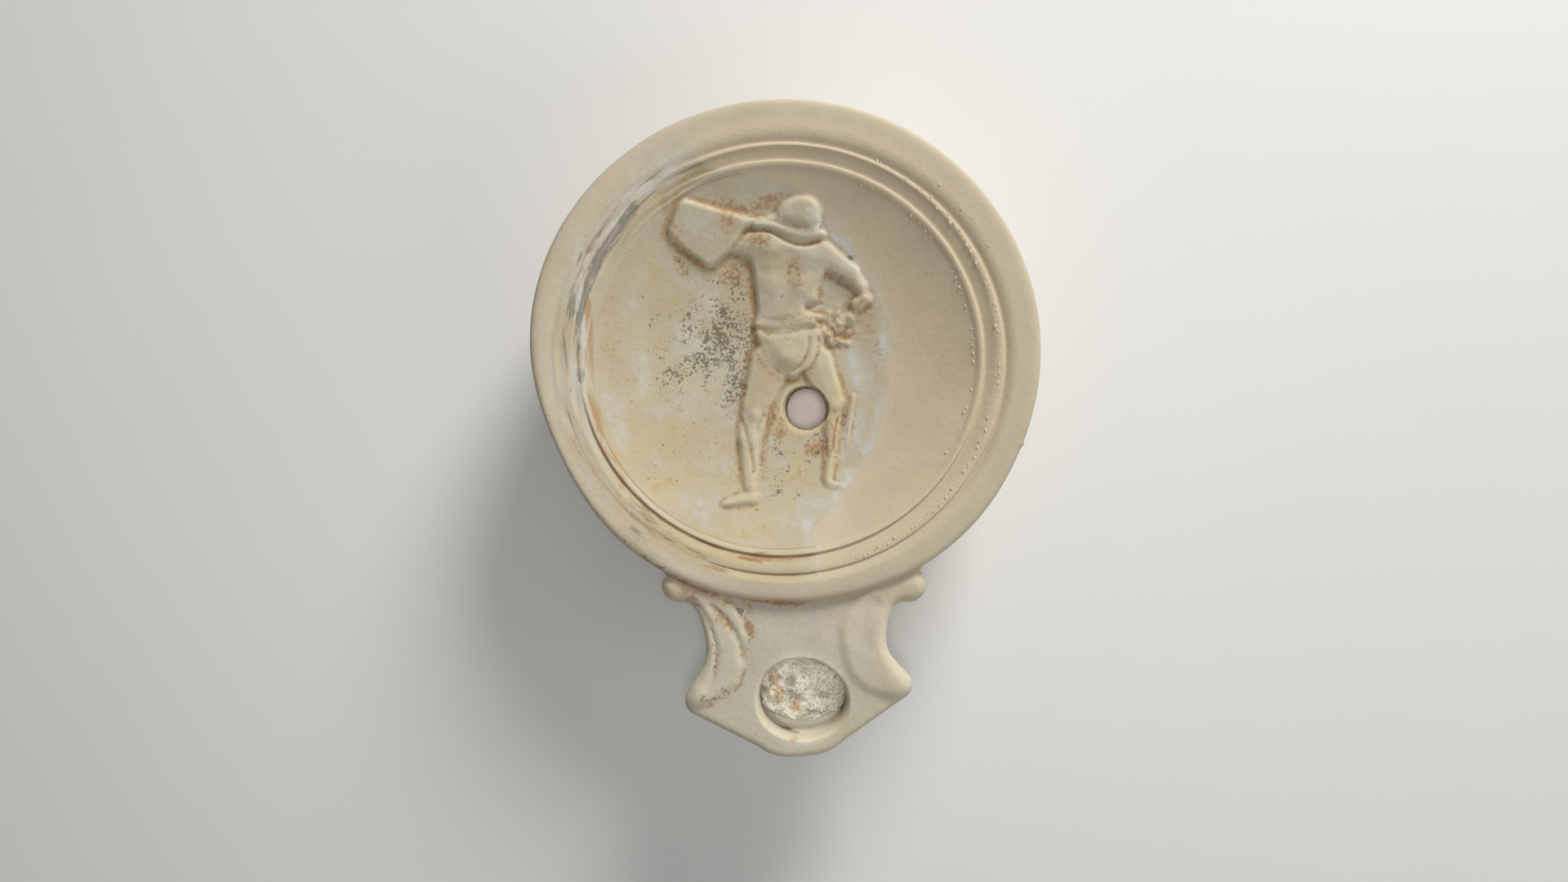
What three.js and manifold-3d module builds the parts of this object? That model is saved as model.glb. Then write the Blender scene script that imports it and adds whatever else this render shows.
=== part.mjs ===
// A Roman volute lamp of fired clay, moulded in two halves and luted into one hollow body,
// with a gladiator in low relief on its sunk discus, a filling hole and a wick hole.
// It stands on its flat base. The nozzle points along -Y, X runs across it and +Z is up.
// The origin is the middle of the base's underside. Sizes are in millimetres.

import * as THREE from "three";
import { mergeVertices } from "three/addons/utils/BufferGeometryUtils.js";
import Module from "manifold-3d";

const wasm = await Module();
wasm.setup();

// Body: the round oil chamber
const LAMP_HEIGHT = 26; // from the table to the crest of the shoulder
const BODY_WIDTH = 78; // diameter along X
const BODY_LENGTH = 76.4; // diameter along Y
const WALL = 3; // sides and floor
const DISCUS_WALL = 2.8; // the clay under the discus
const BASE_RADIUS = 21.5;
const FOOT_HEIGHT = 0.8;
const BELLY_HEIGHT = 19.5; // where the side stands upright
const SHOULDER_EDGE_HEIGHT = 22.6; // where the shoulder starts to round over

// Shoulder mouldings, each placed by its distance in from the body's widest circle and its
// drop below the shoulder's crest
const SHOULDER_CREST_INSET = 3.0;
const OUTER_GROOVE_INSET = 4.3;
const OUTER_GROOVE_DROP = 0.8;
const OUTER_RIDGE_INSET = 5.5;
const OUTER_RIDGE_DROP = 0.35;
const INNER_GROOVE_INSET = 7.9;
const INNER_GROOVE_DROP = 1.7;
const INNER_RIDGE_INSET = 9.0;
const INNER_RIDGE_DROP = 1.1;

// Discus: the sunk picture field, a little off the body's centre
const DISCUS_X = -0.45;
const DISCUS_Y = -1.2;
const DISCUS_STEP_WIDTH = 0.5;
const DISCUS_STEP_HEIGHT = 0.6;
const DISCUS_DEPTH = 4.4; // of the bowl, below that step
const BOWL_POWER = 2.3; // how late the bowl's floor turns up into its wall

// Filling hole, pierced through the discus between the figure's thighs
const FILLING_HOLE_X = 3.2;
const FILLING_HOLE_Y = -8.8;
const FILLING_HOLE_DIAMETER = 6.4;
const FILLING_HOLE_FLARE = 0.4; // how much wider its radius is at the top

// The worn edge of the body, left of the nozzle
const WEAR_DEPTH = 0.9;
const WEAR_DIRECTION = THREE.MathUtils.degToRad(210); // counted from +X towards +Y
const WEAR_SPREAD = THREE.MathUtils.degToRad(24);

// Nozzle, measured outwards from the body's edge and sideways from its own axis
const NOZZLE_LENGTH = 23.6;
const NOZZLE_AXIS_X = 1.5; // where it leaves the body's edge
const NOZZLE_LEAN = 0.055; // how far the axis leans towards +X for each millimetre outwards
const NOZZLE_DROP = 1.6; // its top face, below the shoulder's crest
const NOZZLE_ROOT = 7; // how far it reaches in under the shoulder
const NECK_WIDTH = 27.4;
const NECK_PLACE = 6.4; // the narrowest place, out from the body's edge
const SHOULDER_KNOB_SPAN = 35; // between the centres of the two knobs at the shoulder
const SHOULDER_KNOB_RADIUS = 2.6;
const SHOULDER_KNOB_PLACE = -2.6;
const TIP_KNOB_SPAN = 30.2;
const TIP_KNOB_RADIUS = 2.2;
const TIP_KNOB_FROM_TIP = 9.8;
const TIP_SLOPE = THREE.MathUtils.degToRad(31); // of the two front edges
const TIP_ROUNDING = 6.5; // half the width of the rounded point
const NOZZLE_SKEW = 0.08; // one side of the tip lies further out than the other
const TIP_THICKNESS = 11;
const KEEL_ROOT_HEIGHT = 5.4; // the underside's height under the shoulder
const HULL_TAPER = 8.5; // how far the sides draw in from the top face to the keel
const NOZZLE_EDGE = 0.5; // rounding of the top face's edge

// Volutes: the raised bands along the nozzle's concave sides. The left one keeps its groove,
// the right one was made up plain in the repair.
const VOLUTE_RISE = 0.8;
const VOLUTE_CHANNEL = 0.5; // depth of the left one's groove
const VOLUTE_NECK_WIDTH = 6.6;

// Wick hole, an oval cut just behind the tip
const WICK_HOLE_X = 2.8;
const WICK_HOLE_FROM_TIP = 8.8;
const WICK_HOLE_WIDTH = 14;
const WICK_HOLE_LENGTH = 12.2;
const WICK_HOLE_DRAFT = 0.13; // how far its wall slopes in for each millimetre down
const CRUST_THICKNESS = 1.6; // the burnt and earthy deposit on the nozzle's floor

// Gladiator: the pose is in shares of his height, from a foot point under his body
const FIGURE_HEIGHT = 48.1;
const FIGURE_X = 0.6;
const FIGURE_FOOT_Y = -24;
const RELIEF_RISE = 1.5; // the torso's height above the discus
const CHANNEL_REACH = 2; // how far the nozzle's channel runs on into the chamber
const SHIELD_RISE = 1.1;

// Fineness
const BODY_SEGMENTS = 60;
const CHAMBER_SEGMENTS = 32;
const LIMB_SIDES = 10;

const bodyRadius = BODY_WIDTH / 2;
const outOfRound = BODY_LENGTH / BODY_WIDTH;
const bodyEdgeY = -BODY_LENGTH / 2;
const tipY = bodyEdgeY - NOZZLE_LENGTH;
const nozzleTop = LAMP_HEIGHT - NOZZLE_DROP;
const innerRidgeRadius = bodyRadius - INNER_RIDGE_INSET;
const bowlRadius = innerRidgeRadius - DISCUS_STEP_WIDTH;
const bowlTop = LAMP_HEIGHT - INNER_RIDGE_DROP - DISCUS_STEP_HEIGHT;
const clamp01 = (value) => THREE.MathUtils.clamp(value, 0, 1);

// The closed solid of a geometry, turned to face outwards
function solid(geometry) {
  const plain = geometry.clone();
  for (const name of ["normal", "uv"]) plain.deleteAttribute(name);
  const merged = mergeVertices(plain, 1e-4);
  const triVerts = new Uint32Array(merged.index.array);
  const vertProperties = new Float32Array(merged.attributes.position.array);
  const made = new wasm.Manifold(new wasm.Mesh({ numProp: 3, vertProperties, triVerts }));
  if (made.volume() > 0) return made;
  for (let i = 0; i < triVerts.length; i += 3) {
    [triVerts[i + 1], triVerts[i + 2]] = [triVerts[i + 2], triVerts[i + 1]];
  }
  return new wasm.Manifold(new wasm.Mesh({ numProp: 3, vertProperties, triVerts }));
}

function union(solids) {
  return solids.reduce((whole, piece) => whole.add(piece));
}

// A closed skin through rings of points, each ring with the same count, capped at both ends
function loft(rings) {
  const count = rings[0].length;
  const positions = rings.flat().flatMap((p) => [p.x, p.y, p.z]);
  const index = [];
  for (let ring = 0; ring < rings.length - 1; ring++) {
    for (let i = 0; i < count; i++) {
      const next = (i + 1) % count;
      const a = ring * count + i;
      const b = ring * count + next;
      index.push(a, b, b + count, a, b + count, a + count);
    }
  }
  const cap = (ring, first, flip) => {
    const flat = ring.map((p) => new THREE.Vector2(p.x, p.y));
    for (const [a, b, c] of THREE.ShapeUtils.triangulateShape(flat, [])) {
      index.push(first + a, first + (flip ? c : b), first + (flip ? b : c));
    }
  };
  const clockwise = THREE.ShapeUtils.isClockWise(rings[0].map((p) => new THREE.Vector2(p.x, p.y)));
  cap(rings[0], 0, !clockwise);
  cap(rings.at(-1), (rings.length - 1) * count, clockwise);
  const geometry = new THREE.BufferGeometry();
  geometry.setAttribute("position", new THREE.Float32BufferAttribute(positions, 3));
  geometry.setIndex(index);
  return geometry;
}

// Points of a smooth swell between two profile points, without the first
function swell(from, to, steps) {
  return Array.from({ length: steps }, (_, i) => {
    const share = (i + 1) / steps;
    const eased = (1 - Math.cos(Math.PI * share)) / 2;
    return new THREE.Vector2(
      THREE.MathUtils.lerp(from.x, to.x, share),
      THREE.MathUtils.lerp(from.y, to.y, eased),
    );
  });
}

// A quarter of an ellipse between two profile points, without the first. It leaves the first
// flat and reaches the second upright, or the other way round.
function quarter(from, to, steps, flatFirst) {
  return Array.from({ length: steps }, (_, i) => {
    const angle = ((i + 1) / steps) * (Math.PI / 2);
    const across = flatFirst ? Math.sin(angle) : 1 - Math.cos(angle);
    const up = flatFirst ? 1 - Math.cos(angle) : Math.sin(angle);
    return new THREE.Vector2(
      THREE.MathUtils.lerp(from.x, to.x, across),
      THREE.MathUtils.lerp(from.y, to.y, up),
    );
  });
}

// The bowl's height over its own radius
function bowlHeight(radius) {
  return bowlTop - DISCUS_DEPTH * (1 - clamp01(radius / bowlRadius) ** BOWL_POWER);
}

// The discus's height at a point of the lamp
function discusHeight(x, y) {
  return bowlHeight(Math.hypot(x - DISCUS_X, (y - DISCUS_Y) / outOfRound));
}

// How much the body's edge has worn back in a direction
function wear(direction) {
  const off = THREE.MathUtils.euclideanModulo(direction - WEAR_DIRECTION + Math.PI, 2 * Math.PI) - Math.PI;
  return WEAR_DEPTH * Math.exp(-((off / WEAR_SPREAD) ** 2));
}

// Stands a profile's revolution upright and gives it the body's oval. The mouldings drift
// from the body's centre to the discus's.
function bodyGeometry(profile, segments, drifts) {
  const geometry = new THREE.LatheGeometry(profile, segments);
  geometry.rotateX(Math.PI / 2);
  const position = geometry.attributes.position;
  const shoulderRadius = bodyRadius - SHOULDER_CREST_INSET;
  for (let i = 0; i < position.count; i++) {
    const x = position.getX(i);
    const y = position.getY(i);
    const z = position.getZ(i);
    const radius = Math.hypot(x, y);
    const worn = 1 - (wear(Math.atan2(y, x)) / bodyRadius) * clamp01(z / SHOULDER_EDGE_HEIGHT);
    const onRim = radius > shoulderRadius ? worn : 1;
    const drift =
      drifts && z > BELLY_HEIGHT - DISCUS_WALL
        ? clamp01((shoulderRadius - radius) / (shoulderRadius - innerRidgeRadius))
        : 0;
    position.setXYZ(i, x * onRim + DISCUS_X * drift, y * outOfRound * onRim + DISCUS_Y * drift, z);
  }
  return geometry;
}

function bodySolid() {
  const ring = (inset, drop) => new THREE.Vector2(bodyRadius - inset, LAMP_HEIGHT - drop);
  const foot = new THREE.Vector2(BASE_RADIUS + FOOT_HEIGHT / 2, FOOT_HEIGHT);
  const belly = new THREE.Vector2(bodyRadius, BELLY_HEIGHT);
  const edge = new THREE.Vector2(bodyRadius, SHOULDER_EDGE_HEIGHT);
  const crest = ring(SHOULDER_CREST_INSET, 0);
  const outerGroove = ring(OUTER_GROOVE_INSET, OUTER_GROOVE_DROP);
  const outerRidge = ring(OUTER_RIDGE_INSET, OUTER_RIDGE_DROP);
  const innerGroove = ring(INNER_GROOVE_INSET, INNER_GROOVE_DROP);
  const innerRidge = ring(INNER_RIDGE_INSET, INNER_RIDGE_DROP);
  const bowlShares = [1, 0.9, 0.78, 0.64, 0.47, 0.26];
  const profile = [
    new THREE.Vector2(0, 0),
    new THREE.Vector2(BASE_RADIUS, 0),
    foot,
    ...quarter(foot, belly, 6, true),
    edge,
    ...quarter(edge, crest, 3, false),
    ...swell(crest, outerGroove, 2),
    ...swell(outerGroove, outerRidge, 2),
    ...swell(outerRidge, innerGroove, 2),
    ...swell(innerGroove, innerRidge, 2),
    ...bowlShares.map((share) => new THREE.Vector2(bowlRadius * share, bowlHeight(bowlRadius * share))),
    new THREE.Vector2(0, bowlHeight(0)),
  ];
  return solid(bodyGeometry(profile, BODY_SEGMENTS, true));
}

function chamberSolid() {
  const floor = new THREE.Vector2(BASE_RADIUS - WALL / 2, WALL);
  const side = new THREE.Vector2(bodyRadius - WALL, BELLY_HEIGHT);
  const ceiling = new THREE.Vector2(innerRidgeRadius, bowlTop - DISCUS_WALL);
  const bowlShares = [0.85, 0.62, 0.35];
  const profile = [
    new THREE.Vector2(0, WALL),
    floor,
    ...quarter(floor, side, 5, true),
    ...quarter(side, ceiling, 2, false),
    ...bowlShares.map(
      (share) => new THREE.Vector2(bowlRadius * share, bowlHeight(bowlRadius * share) - DISCUS_WALL),
    ),
    new THREE.Vector2(0, bowlHeight(0) - DISCUS_WALL),
  ];
  return solid(bodyGeometry(profile, CHAMBER_SEGMENTS, true));
}

// One side of the nozzle seen from above, from its root to its tip: x is the distance from
// the nozzle's axis, y the distance out from the body's edge
function nozzleSide() {
  const knobX = SHOULDER_KNOB_SPAN / 2;
  const tipKnobX = TIP_KNOB_SPAN / 2;
  const tipKnobPlace = NOZZLE_LENGTH - TIP_KNOB_FROM_TIP;
  const neckX = NECK_WIDTH / 2;
  const knobEnd = SHOULDER_KNOB_PLACE + SHOULDER_KNOB_RADIUS;
  const knobStart = knobX - SHOULDER_KNOB_RADIUS / 2;
  const tipKnobAngle = -Math.PI / 6;
  const flare = new THREE.Vector2(-Math.sin(tipKnobAngle), Math.cos(tipKnobAngle));
  const tipKnobStart = new THREE.Vector2(Math.cos(tipKnobAngle), Math.sin(tipKnobAngle))
    .multiplyScalar(TIP_KNOB_RADIUS)
    .add(new THREE.Vector2(tipKnobX, tipKnobPlace));
  const flareStart = tipKnobStart.clone().addScaledVector(flare, (NECK_PLACE - tipKnobStart.y) * 0.38);
  const side = new THREE.Path();
  side.moveTo(0, -NOZZLE_ROOT);
  side.lineTo(knobX, -NOZZLE_ROOT);
  side.absarc(knobX, SHOULDER_KNOB_PLACE, SHOULDER_KNOB_RADIUS, -Math.PI / 2, Math.PI / 2, false);
  side.lineTo(knobStart, knobEnd);
  side.bezierCurveTo(neckX + 1.2, knobEnd + 0.4, neckX, NECK_PLACE / 2, neckX, NECK_PLACE);
  const tuck = (tipKnobStart.y - NECK_PLACE) * 0.45;
  side.bezierCurveTo(neckX, NECK_PLACE + tuck, flareStart.x, flareStart.y, tipKnobStart.x, tipKnobStart.y);
  side.absarc(tipKnobX, tipKnobPlace, TIP_KNOB_RADIUS, tipKnobAngle, Math.PI / 2 - TIP_SLOPE, false);
  side.lineTo(TIP_ROUNDING, NOZZLE_LENGTH - (TIP_ROUNDING * Math.tan(TIP_SLOPE)) / 2);
  side.quadraticCurveTo(TIP_ROUNDING / 2, NOZZLE_LENGTH, 0, NOZZLE_LENGTH);
  const points = side.getPoints(4);
  return points.filter((p, i) => i === 0 || p.distanceTo(points[i - 1]) > NOZZLE_EDGE / 2);
}

// Where a point of the nozzle's plan lies on the lamp
function nozzlePoint(across, out, z) {
  const tipKnobPlace = NOZZLE_LENGTH - TIP_KNOB_FROM_TIP;
  const skew = NOZZLE_SKEW * across * clamp01(out / tipKnobPlace);
  return new THREE.Vector3(NOZZLE_AXIS_X + NOZZLE_LEAN * Math.max(out, 0) + across, bodyEdgeY - out + skew, z);
}

function keelHeight(out) {
  const tipHeight = nozzleTop - TIP_THICKNESS;
  const share = clamp01((out + NOZZLE_ROOT) / (NOZZLE_LENGTH + NOZZLE_ROOT));
  return THREE.MathUtils.lerp(KEEL_ROOT_HEIGHT, tipHeight, share ** 1.2);
}

// The nozzle's hull, or the channel inside it when it is set in by a wall. The sides round in
// to the keel like a quarter of an ellipse, and the knobs fade out below the top.
function nozzleHull(inset) {
  const side = nozzleSide();
  const outline = [...side, ...side.slice(1, -1).reverse().map((p) => new THREE.Vector2(-p.x, p.y))];
  const neckX = NECK_WIDTH / 2;
  const plainX = (out) => {
    const share = clamp01((out - NECK_PLACE) / (NOZZLE_LENGTH - NECK_PLACE));
    return neckX * Math.sqrt(1 - share ** 2.5);
  };
  const reach = NOZZLE_ROOT + (inset > 0 ? CHANNEL_REACH : 0);
  const edgeTaper = NOZZLE_EDGE / HULL_TAPER;
  const levels = [0, 0.04, 0.32, 0.58, 0.82, 1];
  return loft(
    levels.map((depth) => {
      const taper = depth === 0 ? edgeTaper : 1 - Math.sqrt(1 - depth ** 2);
      const plain = inset > 0 ? 1 : THREE.MathUtils.smoothstep(depth, 0.1, 0.65);
      const drawn = HULL_TAPER * taper + inset;
      return outline.map((p) => {
        const plainer = Math.sign(p.x) * Math.min(Math.abs(p.x), plainX(p.y));
        const across = THREE.MathUtils.lerp(p.x, plainer, plain) * (1 - drawn / neckX);
        const shrink = 1 - drawn / (NOZZLE_LENGTH + NOZZLE_ROOT);
        const out = p.y <= -NOZZLE_ROOT ? -reach : (NOZZLE_ROOT + p.y) * shrink - NOZZLE_ROOT;
        return nozzlePoint(
          across, out, THREE.MathUtils.lerp(nozzleTop - inset, keelHeight(out) + inset, depth),
        );
      });
    }),
  );
}

// One volute: a band with two ribs and a channel, along one concave side of the nozzle, from
// the knob at the shoulder to the knob at the tip
function voluteGeometry(hand) {
  const tipKnobPlace = NOZZLE_LENGTH - TIP_KNOB_FROM_TIP;
  const neckX = NECK_WIDTH / 2;
  const outer = new THREE.CatmullRomCurve3([
    new THREE.Vector3(SHOULDER_KNOB_SPAN / 2 + SHOULDER_KNOB_RADIUS / 2, SHOULDER_KNOB_PLACE, 0),
    new THREE.Vector3(neckX + 1, SHOULDER_KNOB_PLACE + SHOULDER_KNOB_RADIUS + 1, 0),
    new THREE.Vector3(neckX - NOZZLE_EDGE, NECK_PLACE, 0),
    new THREE.Vector3(neckX + 0.2, tipKnobPlace - TIP_KNOB_RADIUS - 1.5, 0),
    new THREE.Vector3(TIP_KNOB_SPAN / 2 + TIP_KNOB_RADIUS / 2, tipKnobPlace - TIP_KNOB_RADIUS / 3, 0),
  ]);
  const innerNeck = neckX - VOLUTE_NECK_WIDTH;
  const inner = new THREE.CatmullRomCurve3([
    new THREE.Vector3(SHOULDER_KNOB_SPAN / 2 - 1, SHOULDER_KNOB_PLACE - 0.5, 0),
    new THREE.Vector3(innerNeck + 3, SHOULDER_KNOB_PLACE + SHOULDER_KNOB_RADIUS + 0.6, 0),
    new THREE.Vector3(innerNeck, NECK_PLACE, 0),
    new THREE.Vector3(innerNeck + 1.4, tipKnobPlace - TIP_KNOB_RADIUS, 0),
    new THREE.Vector3(TIP_KNOB_SPAN / 2, tipKnobPlace + TIP_KNOB_RADIUS * 0.6, 0),
  ]);
  const buried = nozzleTop - WALL / 2;
  const steps = 12;
  const across = [0, 0.1, 0.26, 0.38, 0.5, 0.62, 0.74, 0.9, 1];
  const rings = Array.from({ length: steps + 1 }, (_, i) => {
    const from = outer.getPoint(i / steps);
    const to = inner.getPoint(i / steps);
    const top = across.map((share) => {
      const arch = Math.sin(Math.PI * share) ** 0.4;
      const groove = Math.cos(Math.PI * clamp01(Math.abs(share - 0.5) / 0.2) * 0.5);
      const rise = VOLUTE_RISE * arch - (hand < 0 ? VOLUTE_CHANNEL * groove : 0);
      const p = from.clone().lerp(to, share);
      return nozzlePoint(hand * p.x, p.y, nozzleTop + rise);
    });
    const under = [to, from].map((p) => nozzlePoint(hand * p.x, p.y, buried));
    return [...top, ...under];
  });
  return loftEnds(rings);
}

// A loft whose end rings stand upright, closed by a fan from each ring's middle
function loftEnds(rings) {
  const count = rings[0].length;
  const middle = (ring) => ring.reduce((sum, p) => sum.add(p), new THREE.Vector3()).divideScalar(count);
  const positions = [...rings.flat(), middle(rings[0]), middle(rings.at(-1))].flatMap((p) => [p.x, p.y, p.z]);
  const lastRing = (rings.length - 1) * count;
  const index = [];
  for (let i = 0; i < count; i++) {
    const next = (i + 1) % count;
    for (let ring = 0; ring < lastRing; ring += count) {
      index.push(ring + i, ring + next, ring + next + count, ring + i, ring + next + count, ring + i + count);
    }
    index.push(rings.length * count, next, i);
    index.push(rings.length * count + 1, lastRing + i, lastRing + next);
  }
  const geometry = new THREE.BufferGeometry();
  geometry.setAttribute("position", new THREE.Float32BufferAttribute(positions, 3));
  geometry.setIndex(index);
  return geometry;
}

// The coiled end of a volute: a flattened boss
function knobGeometry(hand, across, out, radius) {
  const boss = new THREE.SphereGeometry(radius, 12, 6);
  boss.rotateX(Math.PI / 2);
  boss.scale(0.88, 0.88, VOLUTE_RISE / radius);
  const place = nozzlePoint(hand * across, out, nozzleTop - NOZZLE_EDGE / 2);
  return boss.translate(place.x, place.y, place.z);
}

// A tapered round bar with domed ends, lying half sunk in the discus
function limb([from, to, startRadius, endRadius, rise]) {
  const ends = [from, to].map(([across, up]) => figurePoint(across, up));
  const radii = [startRadius, endRadius].map((share) => share * FIGURE_HEIGHT);
  const length = ends[0].distanceTo(ends[1]);
  const domeSteps = [90, 55, 20].map(THREE.MathUtils.degToRad);
  const profile = [
    ...domeSteps.map((a) => new THREE.Vector2(radii[0] * Math.cos(a), -radii[0] * Math.sin(a))),
    ...domeSteps.toReversed().map((a) => new THREE.Vector2(radii[1] * Math.cos(a), length + radii[1] * Math.sin(a))),
  ];
  profile[0].x = 0;
  profile.at(-1).x = 0;
  const bar = new THREE.LatheGeometry(profile, LIMB_SIDES);
  bar.scale(1, 1, (rise * RELIEF_RISE) / Math.max(...radii));
  const along = ends[1].clone().sub(ends[0]).normalize();
  const sideways = along.clone().cross(new THREE.Vector3(0, 0, 1)).normalize();
  const upwards = sideways.clone().cross(along);
  const frame = new THREE.Matrix4().makeBasis(sideways, along, upwards);
  return solid(bar.applyMatrix4(frame.setPosition(ends[0])));
}

// A flat or domed plate over an outline, its edge sunk in the discus
function plate(outline, rise, crown) {
  const edge = outline.map(([across, up]) => figurePoint(across, up));
  const middle = edge.reduce((sum, p) => sum.add(p), new THREE.Vector3()).divideScalar(edge.length);
  middle.z = discusHeight(middle.x, middle.y);
  const ring = (shrink, height) => edge.map((p) => {
    const moved = p.clone().lerp(middle, shrink);
    return moved.setZ(discusHeight(moved.x, moved.y) + height);
  });
  const rings = [ring(0, -RELIEF_RISE), ring(0, rise * 0.4), ring(0.08, rise), ring(0.5, rise + crown * 0.8)];
  const geometry = loftEnds(rings);
  const top = geometry.attributes.position.count - 1;
  geometry.attributes.position.setZ(top, middle.z + rise + crown);
  return solid(geometry);
}

// A point of the figure, in shares of its height, on the discus
function figurePoint(across, up) {
  const x = FIGURE_X + across * FIGURE_HEIGHT;
  const y = FIGURE_FOOT_Y + up * FIGURE_HEIGHT;
  return new THREE.Vector3(x, y, discusHeight(x, y));
}

function gladiator() {
  const rightShoulder = [0.125, 0.805];
  const elbow = [0.23, 0.724];
  const fist = [0.24, 0.66];
  const leftKnee = [-0.11, 0.315];
  const rightKnee = [0.148, 0.325];
  const brim = [[-0.12, 0.9], [-0.03, 0.885], [0.03, 0.866], [0.112, 0.872]];
  // Each row: start, end, the radius at each, and the rise as a share of the torso's
  const limbs = [
    [[-0.165, 0.85], [-0.08, 0.84], 0.042, 0.052, 0.85],
    [[-0.1, 0.585], [0.09, 0.588], 0.022, 0.022, 1.15],
    [[0.024, 0.935], [0.066, 0.928], 0.054, 0.048, 1.25],
    [[-0.185, 0.94], [-0.03, 0.928], 0.018, 0.032, 0.85],
    ...brim.slice(1).map((end, i) => [brim[i], end, 0.021, 0.021, 1.15]),
    [rightShoulder, elbow, 0.044, 0.032, 0.85],
    [elbow, fist, 0.031, 0.027, 0.75],
    [fist, [0.215, 0.65], 0.031, 0.027, 0.8],
    [[0.2, 0.615], [0.125, 0.56], 0.026, 0.02, 0.7],
    [[0.105, 0.58], [0.15, 0.525], 0.016, 0.016, 0.6],
    [[0.155, 0.535], [0.2, 0.525], 0.015, 0.011, 0.5],
    [[-0.05, 0.46], leftKnee, 0.072, 0.052, 0.95],
    [leftKnee, [-0.117, 0.055], 0.052, 0.03, 0.85],
    [[-0.11, 0.026], [-0.2, 0.014], 0.026, 0.016, 0.7],
    [[0.1, 0.47], rightKnee, 0.062, 0.044, 0.9],
    [rightKnee, [0.133, 0.09], 0.038, 0.021, 0.75],
    [[0.13, 0.075], [0.195, 0.07], 0.02, 0.014, 0.55],
    [[0.215, 0.34], [0.188, 0.17], 0.014, 0.011, 0.4],
  ];
  const torso = [
    [-0.13, 0.875], [-0.05, 0.9], [0.06, 0.885], [0.14, 0.845], [0.165, 0.8], [0.12, 0.75], [0.1, 0.69],
    [0.086, 0.64], [0.095, 0.575], [-0.108, 0.57], [-0.108, 0.64], [-0.118, 0.72], [-0.13, 0.79], [-0.17, 0.825],
  ];
  const shield = [
    [-0.2, 0.945], [-0.33, 0.98], [-0.385, 0.86], [-0.255, 0.765], [-0.235, 0.765], [-0.18, 0.815], [-0.11, 0.9],
  ];
  const apron = [
    [0.1, 0.59], [-0.105, 0.585], [-0.1, 0.5], [-0.05, 0.445], [0.015, 0.408], [0.065, 0.43], [0.1, 0.49],
  ];
  return [
    ...limbs.map(limb),
    plate(torso, RELIEF_RISE * 0.7, RELIEF_RISE * 0.4),
    plate(shield, SHIELD_RISE, 0.25),
    plate(apron, RELIEF_RISE * 0.7, RELIEF_RISE * 0.6),
  ];
}

// A straight-sided plug along Z, oval or flared, for a hole through the clay
function plug(x, y, bottom, top, bottomRadius, topRadius, lengthShare) {
  const height = top - bottom;
  const geometry = new THREE.CylinderGeometry(topRadius, bottomRadius, height, 28);
  geometry.rotateX(Math.PI / 2);
  geometry.scale(1, lengthShare, 1);
  return solid(geometry.translate(x, y, bottom + height / 2));
}

function lampSolid() {
  const knobX = SHOULDER_KNOB_SPAN / 2;
  const tipKnobX = TIP_KNOB_SPAN / 2;
  const tipKnobPlace = NOZZLE_LENGTH - TIP_KNOB_FROM_TIP;
  const hull = solid(nozzleHull(0));
  const clay = [bodySolid(), hull, ...gladiator()];
  for (const hand of [-1, 1]) {
    clay.push(
      solid(voluteGeometry(hand)),
      solid(knobGeometry(hand, knobX, SHOULDER_KNOB_PLACE, SHOULDER_KNOB_RADIUS)),
      solid(knobGeometry(hand, tipKnobX, tipKnobPlace, TIP_KNOB_RADIUS)),
    );
  }
  const fillingRadius = FILLING_HOLE_DIAMETER / 2;
  const fillingTop = discusHeight(FILLING_HOLE_X, FILLING_HOLE_Y) + RELIEF_RISE * 2;
  const fillingBottom = fillingTop - RELIEF_RISE * 2 - DISCUS_WALL - WALL;
  const wickY = tipY + WICK_HOLE_FROM_TIP;
  const wickRadius = WICK_HOLE_WIDTH / 2;
  const wickFloor = keelHeight(NOZZLE_LENGTH - WICK_HOLE_FROM_TIP) + WALL;
  const wickPlugBottom = (wickFloor + nozzleTop) / 2 - NOZZLE_EDGE;
  const hollow = [
    chamberSolid(),
    solid(nozzleHull(WALL)),
    plug(
      FILLING_HOLE_X, FILLING_HOLE_Y, fillingBottom, fillingTop,
      fillingRadius, fillingRadius + FILLING_HOLE_FLARE, 1,
    ),
    plug(
      WICK_HOLE_X, wickY, wickPlugBottom, nozzleTop + VOLUTE_RISE * 2,
      wickRadius - WICK_HOLE_DRAFT * (nozzleTop - wickPlugBottom), wickRadius + WICK_HOLE_DRAFT * VOLUTE_RISE * 2,
      WICK_HOLE_LENGTH / WICK_HOLE_WIDTH,
    ),
  ];
  const crust = new THREE.SphereGeometry(wickRadius, 16, 8);
  crust.rotateX(Math.PI / 2);
  crust.scale(1.05, 1, (CRUST_THICKNESS * 2) / wickRadius);
  crust.translate(WICK_HOLE_X, wickY, wickFloor - CRUST_THICKNESS / 2);
  return union(clay).subtract(union(hollow)).add(solid(crust).intersect(hull));
}

function lampMesh() {
  const { vertProperties, triVerts } = lampSolid().getMesh();
  const geometry = new THREE.BufferGeometry();
  geometry.setAttribute("position", new THREE.BufferAttribute(vertProperties, 3));
  geometry.setIndex(new THREE.BufferAttribute(triVerts, 1));
  geometry.computeVertexNormals();
  const firedClay = new THREE.MeshStandardMaterial({ color: 0xc4b99c, roughness: 0.9, metalness: 0 });
  const mesh = new THREE.Mesh(geometry, firedClay);
  mesh.name = "lamp";
  return mesh;
}

const lamp = new THREE.Group();
lamp.add(lampMesh());

export default lamp;
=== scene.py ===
import math
import bmesh
import bpy
import numpy as np
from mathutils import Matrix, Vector, noise
from mathutils.bvhtree import BVHTree
from mathutils.geometry import delaunay_2d_cdt


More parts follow.
